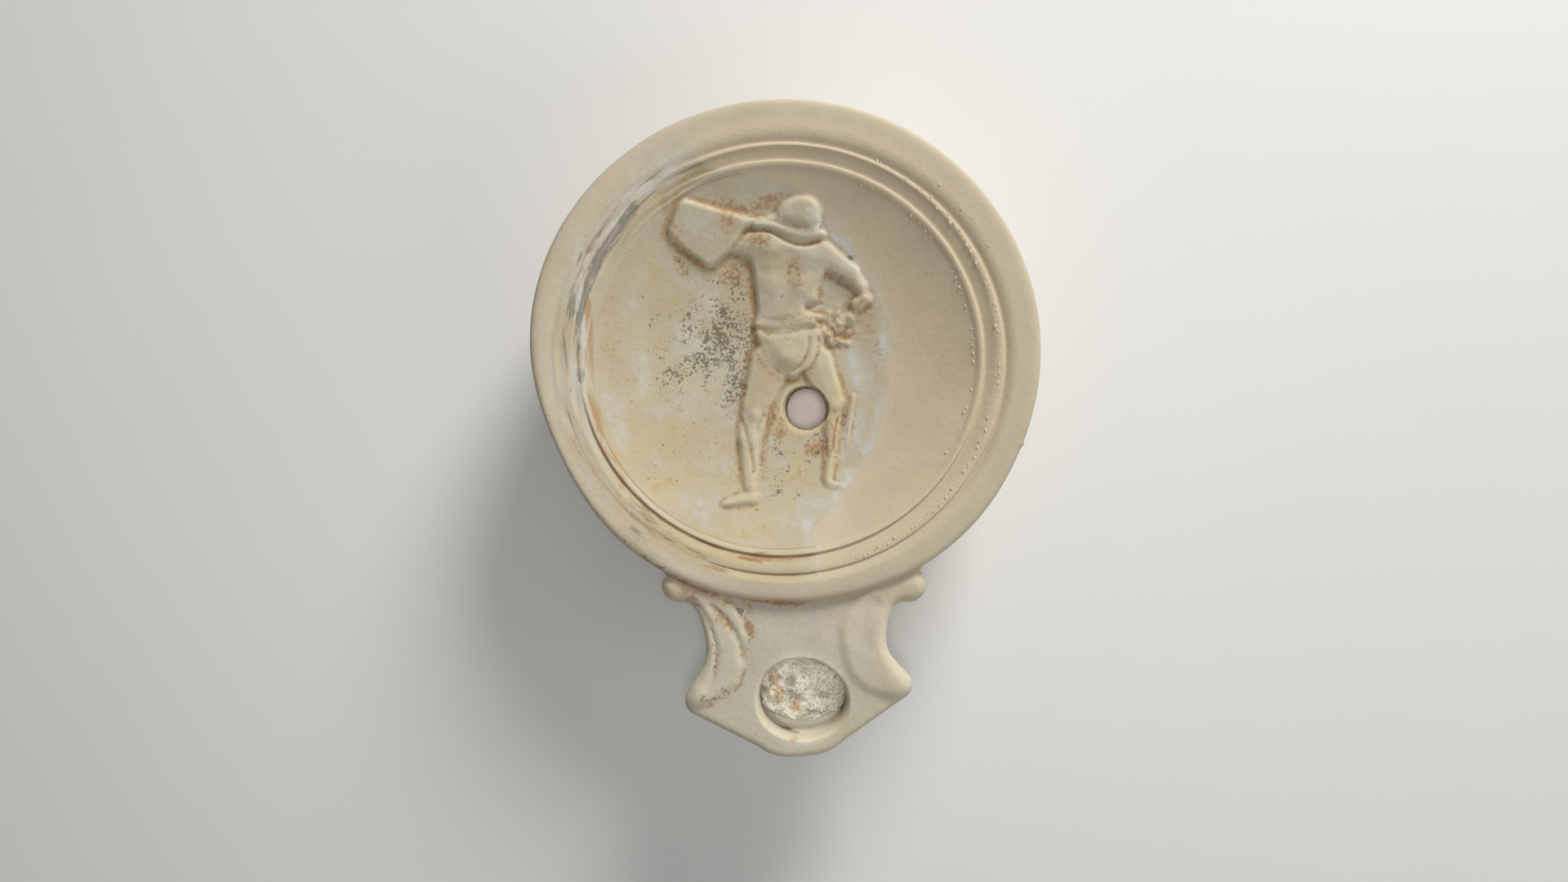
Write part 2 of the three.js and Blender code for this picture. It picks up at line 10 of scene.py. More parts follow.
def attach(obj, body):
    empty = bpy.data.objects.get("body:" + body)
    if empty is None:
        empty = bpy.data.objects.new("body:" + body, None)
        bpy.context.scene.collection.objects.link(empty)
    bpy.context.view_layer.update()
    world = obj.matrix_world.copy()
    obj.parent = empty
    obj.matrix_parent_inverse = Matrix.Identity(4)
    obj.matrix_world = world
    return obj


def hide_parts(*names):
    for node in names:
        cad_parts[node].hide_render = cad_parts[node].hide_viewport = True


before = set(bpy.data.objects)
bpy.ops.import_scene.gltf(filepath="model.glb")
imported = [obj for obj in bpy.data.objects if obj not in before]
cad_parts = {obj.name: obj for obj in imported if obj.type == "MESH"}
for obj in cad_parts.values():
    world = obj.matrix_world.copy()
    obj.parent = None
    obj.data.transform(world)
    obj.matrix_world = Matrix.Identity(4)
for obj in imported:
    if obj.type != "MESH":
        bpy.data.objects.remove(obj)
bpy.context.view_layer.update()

# The lamp's sizes in millimetres
MM = 0.001
BODY_RADIUS = 39.0
OVAL = 0.9795
EDGE_Y = -BODY_RADIUS * OVAL
EDGE_HEIGHT = 22.6
CREST = (36.0, 26.0)
CREST_RADIUS = CREST[0]
RIDGE_RADIUS = 30.0
BOWL_RADIUS = 29.5
BOWL_TOP = 24.3
BOWL_DEPTH = 4.9
BOWL_POWER = 2.7
DISCUS_X = -0.45
DISCUS_Y = -1.2
DISCUS_WALL = 2.8
WALL = 3.0
BELLY_HEIGHT = 19.5
BASE_RADIUS = 21.5
FOOT = (21.9, 0.8)
EDGE_SQUARENESS = 5.0
WEAR_DEPTH = 1.35
WEAR_DIRECTION = math.radians(204)
WEAR_SPREAD = math.radians(24)
NICK_ANGLE = -21.5
BULGE_ANGLE = -51
NOZZLE_TOP = 24.4
NOZZLE_LENGTH = 23.49
NOZZLE_ROOT = 7.0
NOZZLE_X = 1.5
NECK_X = 13.7
NECK_PLACE = 6.4
KNOB_X = 17.5
KNOB_PLACE = -2.6
KNOB_RADIUS = 2.6
TIP_KNOB_X = 15.1
TIP_KNOB_PLACE = 13.8
TIP_KNOB_RADIUS = 2.2
TIP_SLOPE = math.radians(31)
TIP_ROUNDING = 6.5
HULL_TAPER = 8.5
KEEL_ROOT = 5.4
KEEL_TIP = NOZZLE_TOP - 11.0
EDGE_ROUND = 0.5
FIGURE_HEIGHT = 48.1
FIGURE_X = 0.6
FIGURE_FOOT_Y = -24.0
RELIEF = 1.5
SOFT_JOIN = 0.5
FILLING_HOLE = (3.2, -8.8)
HOLE_LEAN = 0.15
WICK_HOLE = (2.8, -53.0)
WICK_HOLE_OUT = NOZZLE_LENGTH - 8.8
WICK_HOLE_REACH = (7.6, 6.8)
CRUST_TOP = 22.2
CRUST_SHIFT = 1.1
CRUST_RADII = (7.6, 5.5)
CRUST_DOME = 0.6
CRUST_EDGE_DROP = 2.2
LUMP_SIZE = 420.0
LUMP_HEIGHT = 3.6
GRAIN_RADIUS = 0.16
GRAIN_DENSITY = 1.8e6
BEADS_Y = -0.9
BEADS_BELOW = 25.88
BEAD_STRAYING = 0.35
BEAD_FLATNESS = 0.34
# Points above this height belong to the lamp's top
TOP_SIDE = 18.0
# How deep a hollow is that counts in full, as a fine one and as a broad one
FINE_HOLLOW = 0.03
BROAD_HOLLOW = 0.16
# The camera's place in metres and its lens, fitted to the photo
CAMERA_AT = (0.0, -0.0137, 0.1861)
FOCAL_PIXELS = 1304
IMAGE_WIDTH = 1920
SENSOR = 36.0


def clamp(value):
    return np.clip(value, 0.0, 1.0)


def ease(value, start, end):
    share = clamp((value - start) / (end - start))
    return share * share * (3 - 2 * share)


def make_mesh(name, points, faces):
    mesh = bpy.data.meshes.new(name)
    mesh.from_pydata([tuple(p * MM for p in point) for point in points], [], faces)
    mesh.update()
    return mesh


def put(name, mesh):
    piece = bpy.data.objects.new(name, mesh)
    bpy.context.collection.objects.link(piece)
    return piece


class Value:
    """What a node puts out. Sums written with it become math nodes in the same tree."""

    def __init__(self, socket):
        self.socket = socket

    def sum(self, operation, *others, bounded=False):
        node = self.socket.id_data.nodes.new("ShaderNodeMath")
        node.operation = operation
        node.use_clamp = bounded
        for socket, value in zip(node.inputs, (self, *others)):
            feed(socket, value)
        return Value(node.outputs[0])

    def __add__(self, other):
        return self.sum("ADD", other)

    def __sub__(self, other):
        return self.sum("SUBTRACT", other)

    def __rsub__(self, other):
        return (self * -1) + other

    def __mul__(self, other):
        return self.sum("MULTIPLY", other)

    def __truediv__(self, other):
        return self.sum("DIVIDE", other)

    def share_of(self, other):
        """A division kept between 0 and 1"""
        return self.sum("DIVIDE", other, bounded=True)

    def between(self, low, high):
        """0 at the low end and 1 at the high end, eased"""
        ends = {"Value": self, "From Min": low, "From Max": high}
        tree = self.socket.id_data
        return place(tree, "ShaderNodeMapRange", ends, interpolation_type="SMOOTHSTEP")["Result"]

    def mix(self, first, second):
        """The first colour at 0 and the second at 1"""
        sides = {0: self, 6: first, 7: second}
        return place(self.socket.id_data, "ShaderNodeMix", sides, data_type="RGBA")[2]


class Outputs:
    """A node's outputs, by number or name"""

    def __init__(self, sockets):
        self.sockets = sockets

    def __getitem__(self, key):
        return Value(self.sockets[key])


def feed(socket, value):
    """Links a value to a socket, or sets the socket's own constant"""
    if isinstance(value, Value):
        socket.id_data.links.new(value.socket, socket)
    else:
        socket.default_value = value


def place(tree, kind, inputs=None, **settings):
    """Adds a node, feeds its inputs and gives its outputs"""
    node = tree.nodes.new(kind)
    for name, value in settings.items():
        setattr(node, name, value)
    for socket, value in (inputs or {}).items():
        feed(node.inputs[socket], value)
    return Outputs(node.outputs)


def new_tree(name, kind, inputs, outputs):
    """A node tree with named inputs and outputs. A number stands for a value with that default."""
    tree = bpy.data.node_groups.new(name, kind + "NodeTree")
    for way, sockets in (("INPUT", inputs), ("OUTPUT", outputs)):
        for label, what in sockets.items():
            word = what if isinstance(what, str) else "Float"
            socket = tree.interface.new_socket(label, in_out=way, socket_type="NodeSocket" + word)
            if word != what:
                socket.default_value = what
    given = Outputs(tree.nodes.new("NodeGroupInput").outputs)
    return tree, given, tree.nodes.new("NodeGroupOutput").inputs


def shape_tree(name, **inputs):
    sockets = {label.replace("_", " "): what for label, what in inputs.items()}
    return new_tree(name, "Geometry", {"Geometry": "Geometry", **sockets}, {"Geometry": "Geometry"})


def finish_tree(tree, geometry, material, end):
    """Ends a shape's tree with real geometry in its material"""
    real = place(tree, "GeometryNodeRealizeInstances", {0: geometry})[0]
    dressed = place(tree, "GeometryNodeSetMaterial", {"Geometry": real, "Material": material})
    feed(end[0], dressed[0])


def grow(name, mesh, tree, values):
    """The mesh that a tree makes from a starting mesh"""
    piece = put(name, mesh)
    modifier = piece.modifiers.new(name, "NODES")
    modifier.node_group = tree
    for item in tree.interface.items_tree:
        if item.in_out == "INPUT" and item.name in values:
            modifier[item.identifier] = values[item.name]
    evaluated = piece.evaluated_get(bpy.context.evaluated_depsgraph_get())
    grown = bpy.data.meshes.new_from_object(evaluated)
    piece.modifiers.remove(modifier)
    bpy.data.objects.remove(piece)
    return grown


def combine(name, meshes, operation):
    """One mesh from the first with the others added or taken away"""
    base = put(name, meshes[0])
    helpers = []
    for mesh in meshes[1:]:
        helper = put(name + "_part", mesh)
        modifier = base.modifiers.new("join", "BOOLEAN")
        modifier.operation = operation
        modifier.solver = "MANIFOLD"
        modifier.object = helper
        helpers.append(helper)
    evaluated = base.evaluated_get(bpy.context.evaluated_depsgraph_get())
    joined = bpy.data.meshes.new_from_object(evaluated)
    for used in [base, *helpers]:
        bpy.data.objects.remove(used)
    return joined


def turned_tree():
    """Turns a profile about the upright axis: oval, drifting off centre inside, worn on one side"""
    tree, given, end = shape_tree(
        "turned", Segments="Int", Radius="Float", Oval="Float", Crest_Radius="Float", Ridge_Radius="Float",
        Drift_X="Float", Drift_Y="Float", Drift_Above="Float", Edge_Height="Float", Wear_Depth="Float",
        Wear_Direction="Float", Wear_Spread="Float", Material="Material",
    )
    rows = place(tree, "GeometryNodeAttributeDomainSize", {0: given["Geometry"]})["Point Count"]
    counts = {"Vertices X": given["Segments"] + 1, "Vertices Y": rows}
    grid = place(tree, "GeometryNodeMeshGrid", counts)["Mesh"]
    index = place(tree, "GeometryNodeInputIndex")[0]
    column = ((index + 0.5) / rows).sum("FLOOR")
    angle = column * (2 * math.pi) / given["Segments"]
    sample = place(tree, "GeometryNodeSampleIndex", {
        "Geometry": given["Geometry"], "Value": place(tree, "GeometryNodeInputPosition")[0],
        "Index": index - column * rows,
    }, data_type="FLOAT_VECTOR", domain="POINT")
    profile = place(tree, "ShaderNodeSeparateXYZ", {0: sample["Value"]})
    radius, height = profile[0], profile[2]
    off = (angle - given["Wear Direction"]).sum("WRAP", math.pi, -math.pi)
    spread = (off / given["Wear Spread"]).sum("ABSOLUTE").sum("POWER", 2)
    worn = (spread * -1).sum("EXPONENT") * given["Wear Depth"]
    outside = radius - given["Crest Radius"]
    rim = outside.share_of(given["Radius"] - given["Crest Radius"])
    reach = radius * (1 - worn * height.share_of(given["Edge Height"]) * rim / given["Radius"])
    inside = (outside * -1).share_of(given["Crest Radius"] - given["Ridge Radius"])
    drift = inside * height.sum("GREATER_THAN", given["Drift Above"])
    x = reach * angle.sum("COSINE") + drift * given["Drift X"]
    y = reach * angle.sum("SINE") * given["Oval"] + drift * given["Drift Y"]
    spot = place(tree, "ShaderNodeCombineXYZ", {0: x, 1: y, 2: height})[0]
    moved = place(tree, "GeometryNodeSetPosition", {"Geometry": grid, "Position": spot})[0]
    closed = place(tree, "GeometryNodeMergeByDistance", {"Geometry": moved, "Distance": 2e-6})[0]
    finish_tree(tree, closed, given["Material"], end)
    return tree


def quarter_turn(rows):
    return np.arange(1, rows + 1) / rows * math.pi / 2


def profile_points(start, end, across, up):
    return list(zip(start[0] + (end[0] - start[0]) * across, start[1] + (end[1] - start[1]) * up))


def roll(start, end, rows, leaves_flat):
    """Profile points between two that leave or reach a ridge's top level"""
    turn = quarter_turn(rows)
    return profile_points(start, end, turn / (math.pi / 2), 1 - np.cos(turn) if leaves_flat else np.sin(turn))


def quarter(start, end, rows, flat_first):
    """Profile points along a quarter of an ellipse"""
    turn = quarter_turn(rows)
    ways = [np.sin(turn), 1 - np.cos(turn)]
    return profile_points(start, end, *(ways if flat_first else ways[::-1]))


def shoulder_edge(start, end, rows):
    """A tight round from the upright edge on to the nearly level shoulder"""
    turn = quarter_turn(rows)
    power = 2 / EDGE_SQUARENESS
    return profile_points(start, end, 1 - np.cos(turn) ** power, np.sin(turn) ** power)


def bowl_height(radius):
    return BOWL_TOP - BOWL_DEPTH * (1 - clamp(radius / BOWL_RADIUS) ** BOWL_POWER)


def discus_height(x, y):
    return bowl_height(np.hypot(x - DISCUS_X, (y - DISCUS_Y) / OVAL))


def bowl_rows(outer, inner, step, sunk=0.0):
    count = int(round((outer - inner) / step))
    radii = outer + (inner - outer) * np.arange(1, count + 1) / count
    return [(r, bowl_height(r) - sunk) for r in radii]


def moulded_rows():
    """The shoulder from its edge to the discus: a round edge, two ridges with sharp hollows"""
    edge = (BODY_RADIUS, EDGE_HEIGHT)
    outer_hollow, outer_ridge = (34.3, 25.22), (33.9, 25.52)
    inner_hollow, inner_ridge = (30.85, 24.52), (30.5, 24.9)
    return [
        edge, *shoulder_edge(edge, CREST, 18), *roll(CREST, outer_hollow, 8, True),
        *roll(outer_hollow, outer_ridge, 4, False), *roll(outer_ridge, inner_hollow, 12, True),
        *roll(inner_hollow, inner_ridge, 5, False), *roll(inner_ridge, (BOWL_RADIUS, BOWL_TOP), 5, True),
    ]


def path_mesh(points):
    """A mesh that is one open line through points"""
    mesh = bpy.data.meshes.new("path")
    edges = [(i, i + 1) for i in range(len(points) - 1)]
    mesh.from_pydata([tuple(v * MM for v in point) for point in points], edges, [])
    return mesh


def turn_zone(tree, rows, segments, material):
    return grow("zone", path_mesh([(r, 0, z) for r, z in rows]), tree, {
        "Segments": segments, "Radius": BODY_RADIUS * MM, "Oval": OVAL, "Crest Radius": CREST_RADIUS * MM,
        "Ridge Radius": RIDGE_RADIUS * MM, "Drift X": DISCUS_X * MM, "Drift Y": DISCUS_Y * MM,
        "Drift Above": (BELLY_HEIGHT - DISCUS_WALL) * MM, "Edge Height": EDGE_HEIGHT * MM,
        "Wear Depth": WEAR_DEPTH * MM, "Wear Direction": WEAR_DIRECTION, "Wear Spread": WEAR_SPREAD,
        "Material": material,
    })


def stitch(zones):
    """One closed mesh from turned zones, each with a test for the rim edges that are halved"""
    whole = bmesh.new()
    for mesh, on_rim in zones:
        part = bmesh.new()
        part.from_mesh(mesh)
        rim = [e for e in part.edges if e.is_boundary and on_rim and on_rim(e)]
        bmesh.ops.subdivide_edges(part, edges=rim, cuts=1)
        part.to_mesh(mesh)
        part.free()
        whole.from_mesh(mesh)
    mesh = bpy.data.meshes.new("body")
    return closed(whole, mesh, 0.03)


def closed(work, mesh, distance):
    """Writes a mesh with its near points joined and its faces turned outwards"""
    bmesh.ops.remove_doubles(work, verts=work.verts, dist=distance * MM)
    bmesh.ops.triangulate(work, faces=[f for f in work.faces if len(f.verts) > 4])
    bmesh.ops.recalc_face_normals(work, faces=work.faces)
    work.to_mesh(mesh)
    work.free()
    return mesh


def closed_mesh(points, faces):
    mesh = make_mesh("part", points, faces)
    work = bmesh.new()
    work.from_mesh(mesh)
    return closed(work, mesh, 0.002)


def rim_near(radius, height=None):
    def test(edge):
        middle = (edge.verts[0].co + edge.verts[1].co) / (2 * MM)
        reach = math.hypot(middle.x, middle.y)
        return abs(reach - radius) < 2.5 and (height is None or abs(middle.z - height) < 0.5)
    return test


def body_mesh(tree, material):
    """The body in five zones, with fewer points round the rings where they are shorter"""
    belly = (BODY_RADIUS, BELLY_HEIGHT)
    middle, heart = 14.0, 7.0
    side = [(BODY_RADIUS, z) for z in (EDGE_HEIGHT, 21.8, 21.0, 20.2, BELLY_HEIGHT)]
    side += quarter(FOOT, belly, 24, True)[:-1][::-1] + [FOOT, (21.75, 0.35), (BASE_RADIUS, 0.0)]
    zones = [
        (moulded_rows() + bowl_rows(BOWL_RADIUS, middle, 0.27), 512, None),
        ([(middle, bowl_height(middle))] + bowl_rows(middle, heart, 0.28), 256, rim_near(middle)),
        ([(heart, bowl_height(heart))] + bowl_rows(heart, 0.0, 0.3), 128, rim_near(heart)),
        (side, 256, rim_near(BODY_RADIUS, EDGE_HEIGHT)),
        ([(radius, 0.0) for radius in (BASE_RADIUS, 17.0, 12.0, 6.0, 0.0)], 128, rim_near(BASE_RADIUS)),
    ]
    return stitch([(turn_zone(tree, rows, count, material), rim) for rows, count, rim in zones])


def chamber_mesh(tree, material):
    floor, side, ceiling = (20.0, WALL), (36.0, BELLY_HEIGHT), (RIDGE_RADIUS, BOWL_TOP - DISCUS_WALL)
    rows = [(0.0, WALL), (10.0, WALL), floor] + quarter(floor, side, 12, True)
    rows += quarter(side, ceiling, 5, False) + bowl_rows(BOWL_RADIUS, 0.0, 2.9, DISCUS_WALL)
    return stitch([(turn_zone(tree, rows, 96, material), None)])


def arc(centre, radius, start, end, count):
    angle = np.linspace(start, end, count)
    return [(centre[0] + radius * math.cos(a), centre[1] + radius * math.sin(a)) for a in angle]


def bezier(a, b, c, d, count):
    points = []
    for t in np.linspace(0, 1, count):
        weights = ((1 - t) ** 3, 3 * t * (1 - t) ** 2, 3 * t * t * (1 - t), t ** 3)
        points.append(tuple(sum(w * p[i] for w, p in zip(weights, (a, b, c, d))) for i in (0, 1)))
    return points


def even(points, step):
    """The same path with points an even step apart"""
    path = np.array(points)
    lengths = np.concatenate([[0], np.cumsum(np.hypot(*np.diff(path, axis=0).T))])
    count = max(2, int(round(lengths[-1] / step)) + 1)
    at = np.linspace(0, lengths[-1], count)
    return np.column_stack([np.interp(at, lengths, path[:, i]) for i in range(path.shape[1])])


def nozzle_side(step):
    """One side of the nozzle from above: distance from its axis, distance out from the body"""
    knob_end = KNOB_PLACE + KNOB_RADIUS
    flare = arc((TIP_KNOB_X, TIP_KNOB_PLACE), TIP_KNOB_RADIUS, -math.pi / 6, math.pi / 2 - TIP_SLOPE, 14)
    start = flare[0]
    pull = (NECK_PLACE - start[1]) * 0.38
    before = (start[0] + 0.5 * pull, start[1] + math.cos(math.pi / 6) * pull)
    tuck = (start[1] - NECK_PLACE) * 0.45
    neck = (NECK_X, NECK_PLACE)
    point = (0, NOZZLE_LENGTH)
    point_start = (TIP_ROUNDING, NOZZLE_LENGTH - TIP_ROUNDING * math.tan(TIP_SLOPE) / 2)
    path = [(0, -NOZZLE_ROOT), (KNOB_X + 1.9, -NOZZLE_ROOT)]
    path += arc((KNOB_X, KNOB_PLACE), KNOB_RADIUS, -math.pi / 6, math.pi / 2, 14)
    path += bezier((KNOB_X - 1.3, knob_end), (NECK_X + 1.2, knob_end + 0.4), (NECK_X, NECK_PLACE / 2),
                   neck, 14)
    path += bezier(neck, (NECK_X, NECK_PLACE + tuck), before, start, 14)[1:]
    path += flare[1:]
    path += bezier(point_start, (TIP_ROUNDING / 3 * 2, point[1]), (TIP_ROUNDING / 3, point[1]), point, 12)
    return even(path, step)


def on_nozzle(across, out):
    """Where a point of the nozzle's plan lies on the lamp"""
    skew = 0.08 * across * clamp(out / TIP_KNOB_PLACE)
    return NOZZLE_X + 0.055 * np.maximum(out, 0) + across, EDGE_Y - out + skew


def keel_height(out):
    share = clamp((out + NOZZLE_ROOT) / (NOZZLE_LENGTH + NOZZLE_ROOT))
    return KEEL_ROOT + (KEEL_TIP - KEEL_ROOT) * share ** 1.2


def nozzle_rings(inset, step, levels, top_drop, keel_shares=()):
    side = nozzle_side(step)
    outline = np.vstack([side, side[1:-1][::-1] * (-1, 1)])
    across, out = outline[:, 0], outline[:, 1]
    plain_x = NECK_X * np.sqrt(1 - clamp((out - NECK_PLACE) / (NOZZLE_LENGTH - NECK_PLACE)) ** 2.5)
    reach = NOZZLE_ROOT + (2 if inset else 0)
    rings = []
    for depth in levels:
        taper = 1 - math.sqrt(1 - depth ** 2)
        plain = 1.0 if inset else ease(depth, 0.1, 0.65)
        drawn = HULL_TAPER * taper + inset
        plainer = np.sign(across) * np.minimum(np.abs(across), plain_x)
        width = (across + (plainer - across) * plain) * (1 - drawn / NECK_X)
        shrink = 1 - drawn / (NOZZLE_LENGTH + NOZZLE_ROOT)
        length = np.where(out <= -NOZZLE_ROOT, -reach, (NOZZLE_ROOT + out) * shrink - NOZZLE_ROOT)
        x, y = on_nozzle(width, length)
        high = NOZZLE_TOP - inset - top_drop
        z = high + (keel_height(length) + inset - high) * depth
        rings.append(np.column_stack([x, y, z]))
    for share in keel_shares:
        x, y = on_nozzle(width * share, length)
        rings.append(np.column_stack([x, y, z - 0.35 * (1 - share ** 2)]))
    return rings


def fill(outline, spacing):
    """Triangles over a closed outline, with evenly spread points inside it"""
    low, high = outline.min(axis=0), outline.max(axis=0)
    points = []
    for i, y in enumerate(np.arange(low[1], high[1], spacing * 0.866)):
        points += [(x, y) for x in np.arange(low[0] + (i % 2) * spacing / 2, high[0], spacing)]
    spots = np.array(points)
    spots = np.vstack([outline, spots[inside_depth(spots, outline) > spacing * 0.5]])
    loop = [list(range(len(outline)))]
    verts, _, faces, *_ = delaunay_2d_cdt([Vector(p) for p in spots], [], loop, 1, 1e-6)
    return np.array([tuple(v) for v in verts]), faces


def inside_depth(spots, outline):
    """How far each spot lies inside a closed outline, below nought outside"""
    depth = np.full(len(spots), 1e9)
    inside = np.zeros(len(spots), bool)
    for a, b in zip(outline, np.roll(outline, -1, axis=0)):
        depth = np.minimum(depth, distance_to_bar(spots, a, b)[0])
        crosses = (a[1] > spots[:, 1]) != (b[1] > spots[:, 1])
        if a[1] != b[1]:
            at = (b[0] - a[0]) * (spots[:, 1] - a[1]) / (b[1] - a[1]) + a[0]
            inside ^= crosses & (spots[:, 0] < at)
    return np.where(inside, depth, -depth)


def distance_to_bar(spots, a, b):
    a, b = np.asarray(a, float), np.asarray(b, float)
    way = b - a
    length = max(way @ way, 1e-12)
    share = clamp(((spots - a) @ way) / length)
    return np.linalg.norm(spots - (a + share[:, None] * way), axis=1), share


def distance_to_path(spots, path):
    """Distance to a path, and how far along it the nearest point is, from 0 to 1"""
    path = np.array(path, float)
    lengths = np.concatenate([[0], np.cumsum(np.linalg.norm(np.diff(path, axis=0), axis=1))])
    best = np.full(len(spots), 1e9)
    along = np.zeros(len(spots))
    for i in range(len(path) - 1):
        away, share = distance_to_bar(spots, path[i], path[i + 1])
        here = (lengths[i] + share * (lengths[i + 1] - lengths[i])) / lengths[-1]
        along = np.where(away < best, here, along)
        best = np.minimum(best, away)
    return best, along


def smooth_path(points, step=0.4):
    """A rounded path through points"""
    path = np.array(points, float)
    padded = np.vstack([2 * path[0] - path[1], path, 2 * path[-1] - path[-2]])
    out = []
    for i in range(1, len(padded) - 2):
        p0, p1, p2, p3 = padded[i - 1:i + 3]
        for t in np.linspace(0, 1, 9)[:-1]:
            out.append(0.5 * (2 * p1 + (p2 - p0) * t + (2 * p0 - 5 * p1 + 4 * p2 - p3) * t * t
                              + (3 * p1 - p0 - 3 * p2 + p3) * t ** 3))
    out.append(path[-1])
    return even(out, step)


# The volutes, in millimetres on the lamp: a band's outline with its height and slope's width,
# the hollow lines cut in it with their half width and depth, and the bosses at its ends
VOLUTE_BANDS = [
    ([(-24, -32), (-24, -57), (-12.8, -54.2), (-9.4, -52.6), (-6.9, -50.6), (-5.9, -47.8), (-6.2, -45.2),
     (-5.3, -43.4), (-5.3, -41), (-6.6, -38), (-9, -35.5)], 0.5, 1.9),
    ([(26, -32), (26, -55), (18.2, -53.6), (15, -52.8), (12, -51.5), (10, -49.6), (8.9, -47),
     (8.3, -44.5), (8.2, -42), (9.2, -39.5), (11, -37.2), (13, -35.5)], 0.55, 2.5),
]
VOLUTE_HOLLOWS = [
    ([(-15, -36.8), (-12.7, -39.2), (-11, -42.4), (-10.25, -45.5), (-10.7, -49.2),
     (-12, -52.2)], 0.38, 0.36),
    ([(-11.6, -38.2), (-9.2, -40.4), (-7.4, -43), (-6.5, -45.6), (-6.9, -48)], 0.42, 0.34),
    ([(-9.3, -37), (-6.8, -39.4), (-5.7, -42.6), (-5.6, -44)], 0.45, 0.25),
    ([(15, -37.6), (12.6, -40.2), (12.2, -43.5), (12.9, -46.5)], 1.2, 0.16),
]
VOLUTE_BOSSES = [
    (-12.9, -52.4, 2.6, 0.35), (17.2, -50.6, 3.2, 0.4), (-17.2, -35.7, 2.6, 0.25),
    (19.9, -35.5, 2.8, 0.25),
]


def nozzle_relief(spots):
    """The height of the volutes over the nozzle's flat top"""
    rise = np.zeros(len(spots))
    for outline, height, width in VOLUTE_BANDS:
        depth = inside_depth(spots, np.array(outline, float))
        slope = ease(depth, -0.2 * width, 0.55 * width)
        rise = np.maximum(rise, height * (0.75 * slope + 0.25 * bevel(np.maximum(depth, 0), 3 * width)))
    for x, y, radius, height in VOLUTE_BOSSES:
        away = np.hypot(spots[:, 0] - x, spots[:, 1] - y)
        rise = rise + height * ease(away, radius, 0)
    for points, width, depth in VOLUTE_HOLLOWS:
        away, along = distance_to_path(spots, smooth_path(points))
        ends = np.minimum(ease(along, 0.0, 0.1), ease(along, 1.0, 0.8))
        rise = rise - depth * np.exp(-(away / width) ** 2) * ends
    return rise


def bands(starts, count):
    """Faces between closed rings of points, each ring given by the number of its first point"""
    return [(a + i, a + (i + 1) % count, b + (i + 1) % count, b + i)
            for a, b in zip(starts, starts[1:]) for i in range(count)]


def nozzle_mesh():
    levels = [0, 0.05, 0.12, 0.2, 0.3, 0.4, 0.5, 0.6, 0.7, 0.79, 0.87, 0.94, 0.98, 1]
    rings = nozzle_rings(0, 0.5, levels, EDGE_ROUND, [0.7, 0.35, 0])
    outline = rings[0][:, :2]
    spots, faces = fill(outline, 0.42)
    depth = np.maximum(inside_depth(spots, outline), 0)
    depth[:len(outline)] = 0
    edge = EDGE_ROUND * (1 - np.sqrt(clamp(1 - (1 - clamp(depth / 1.3)) ** 2)))
    worn = 0.06 * uneven(np.column_stack([spots, spots[:, 0] * 0]), 4.0, 5)
    top = NOZZLE_TOP - edge + (nozzle_relief(spots) + worn) * ease(depth, -0.4, 1.5)
    count = len(outline)
    starts = [0] + [len(spots) + level * count for level in range(len(rings) - 1)]
    points = np.vstack([np.column_stack([spots, top]), *rings[1:]])
    return closed_mesh(points, [tuple(f) for f in faces] + bands(starts, count))


def tube_mesh(rings, way):
    """A closed mesh from rings of points, with one face at each end. The way is that of the first end."""
    count = len(rings[0])
    starts = [level * count for level in range(len(rings))]
    ends = [tuple(range(count))[::way], tuple(range(starts[-1], starts[-1] + count))[::-way]]
    return closed_mesh(np.vstack(rings), ends + bands(starts, count))


def channel_mesh():
    return tube_mesh(nozzle_rings(WALL, 1.5, [0.06, 0.32, 0.58, 0.82, 1], 0), 1)


def hole_mesh(centre, rows, wobble, count, lean=0.0):
    """A plug for a hole: rows of (height, half width, half length), uneven all round"""
    angle = np.arange(count) / count * 2 * math.pi
    ragged = 1 + sum(size * np.cos(times * angle + turn) for times, size, turn in wobble)
    rings = []
    for z, half_width, half_length in rows:
        x = centre[0] + lean * (rows[-1][0] - z) + half_width * ragged * np.cos(angle)
        y = centre[1] + half_length * ragged * np.sin(angle)
        rings.append(np.column_stack([x, y, np.full(count, z)]))
    return tube_mesh(rings, -1)


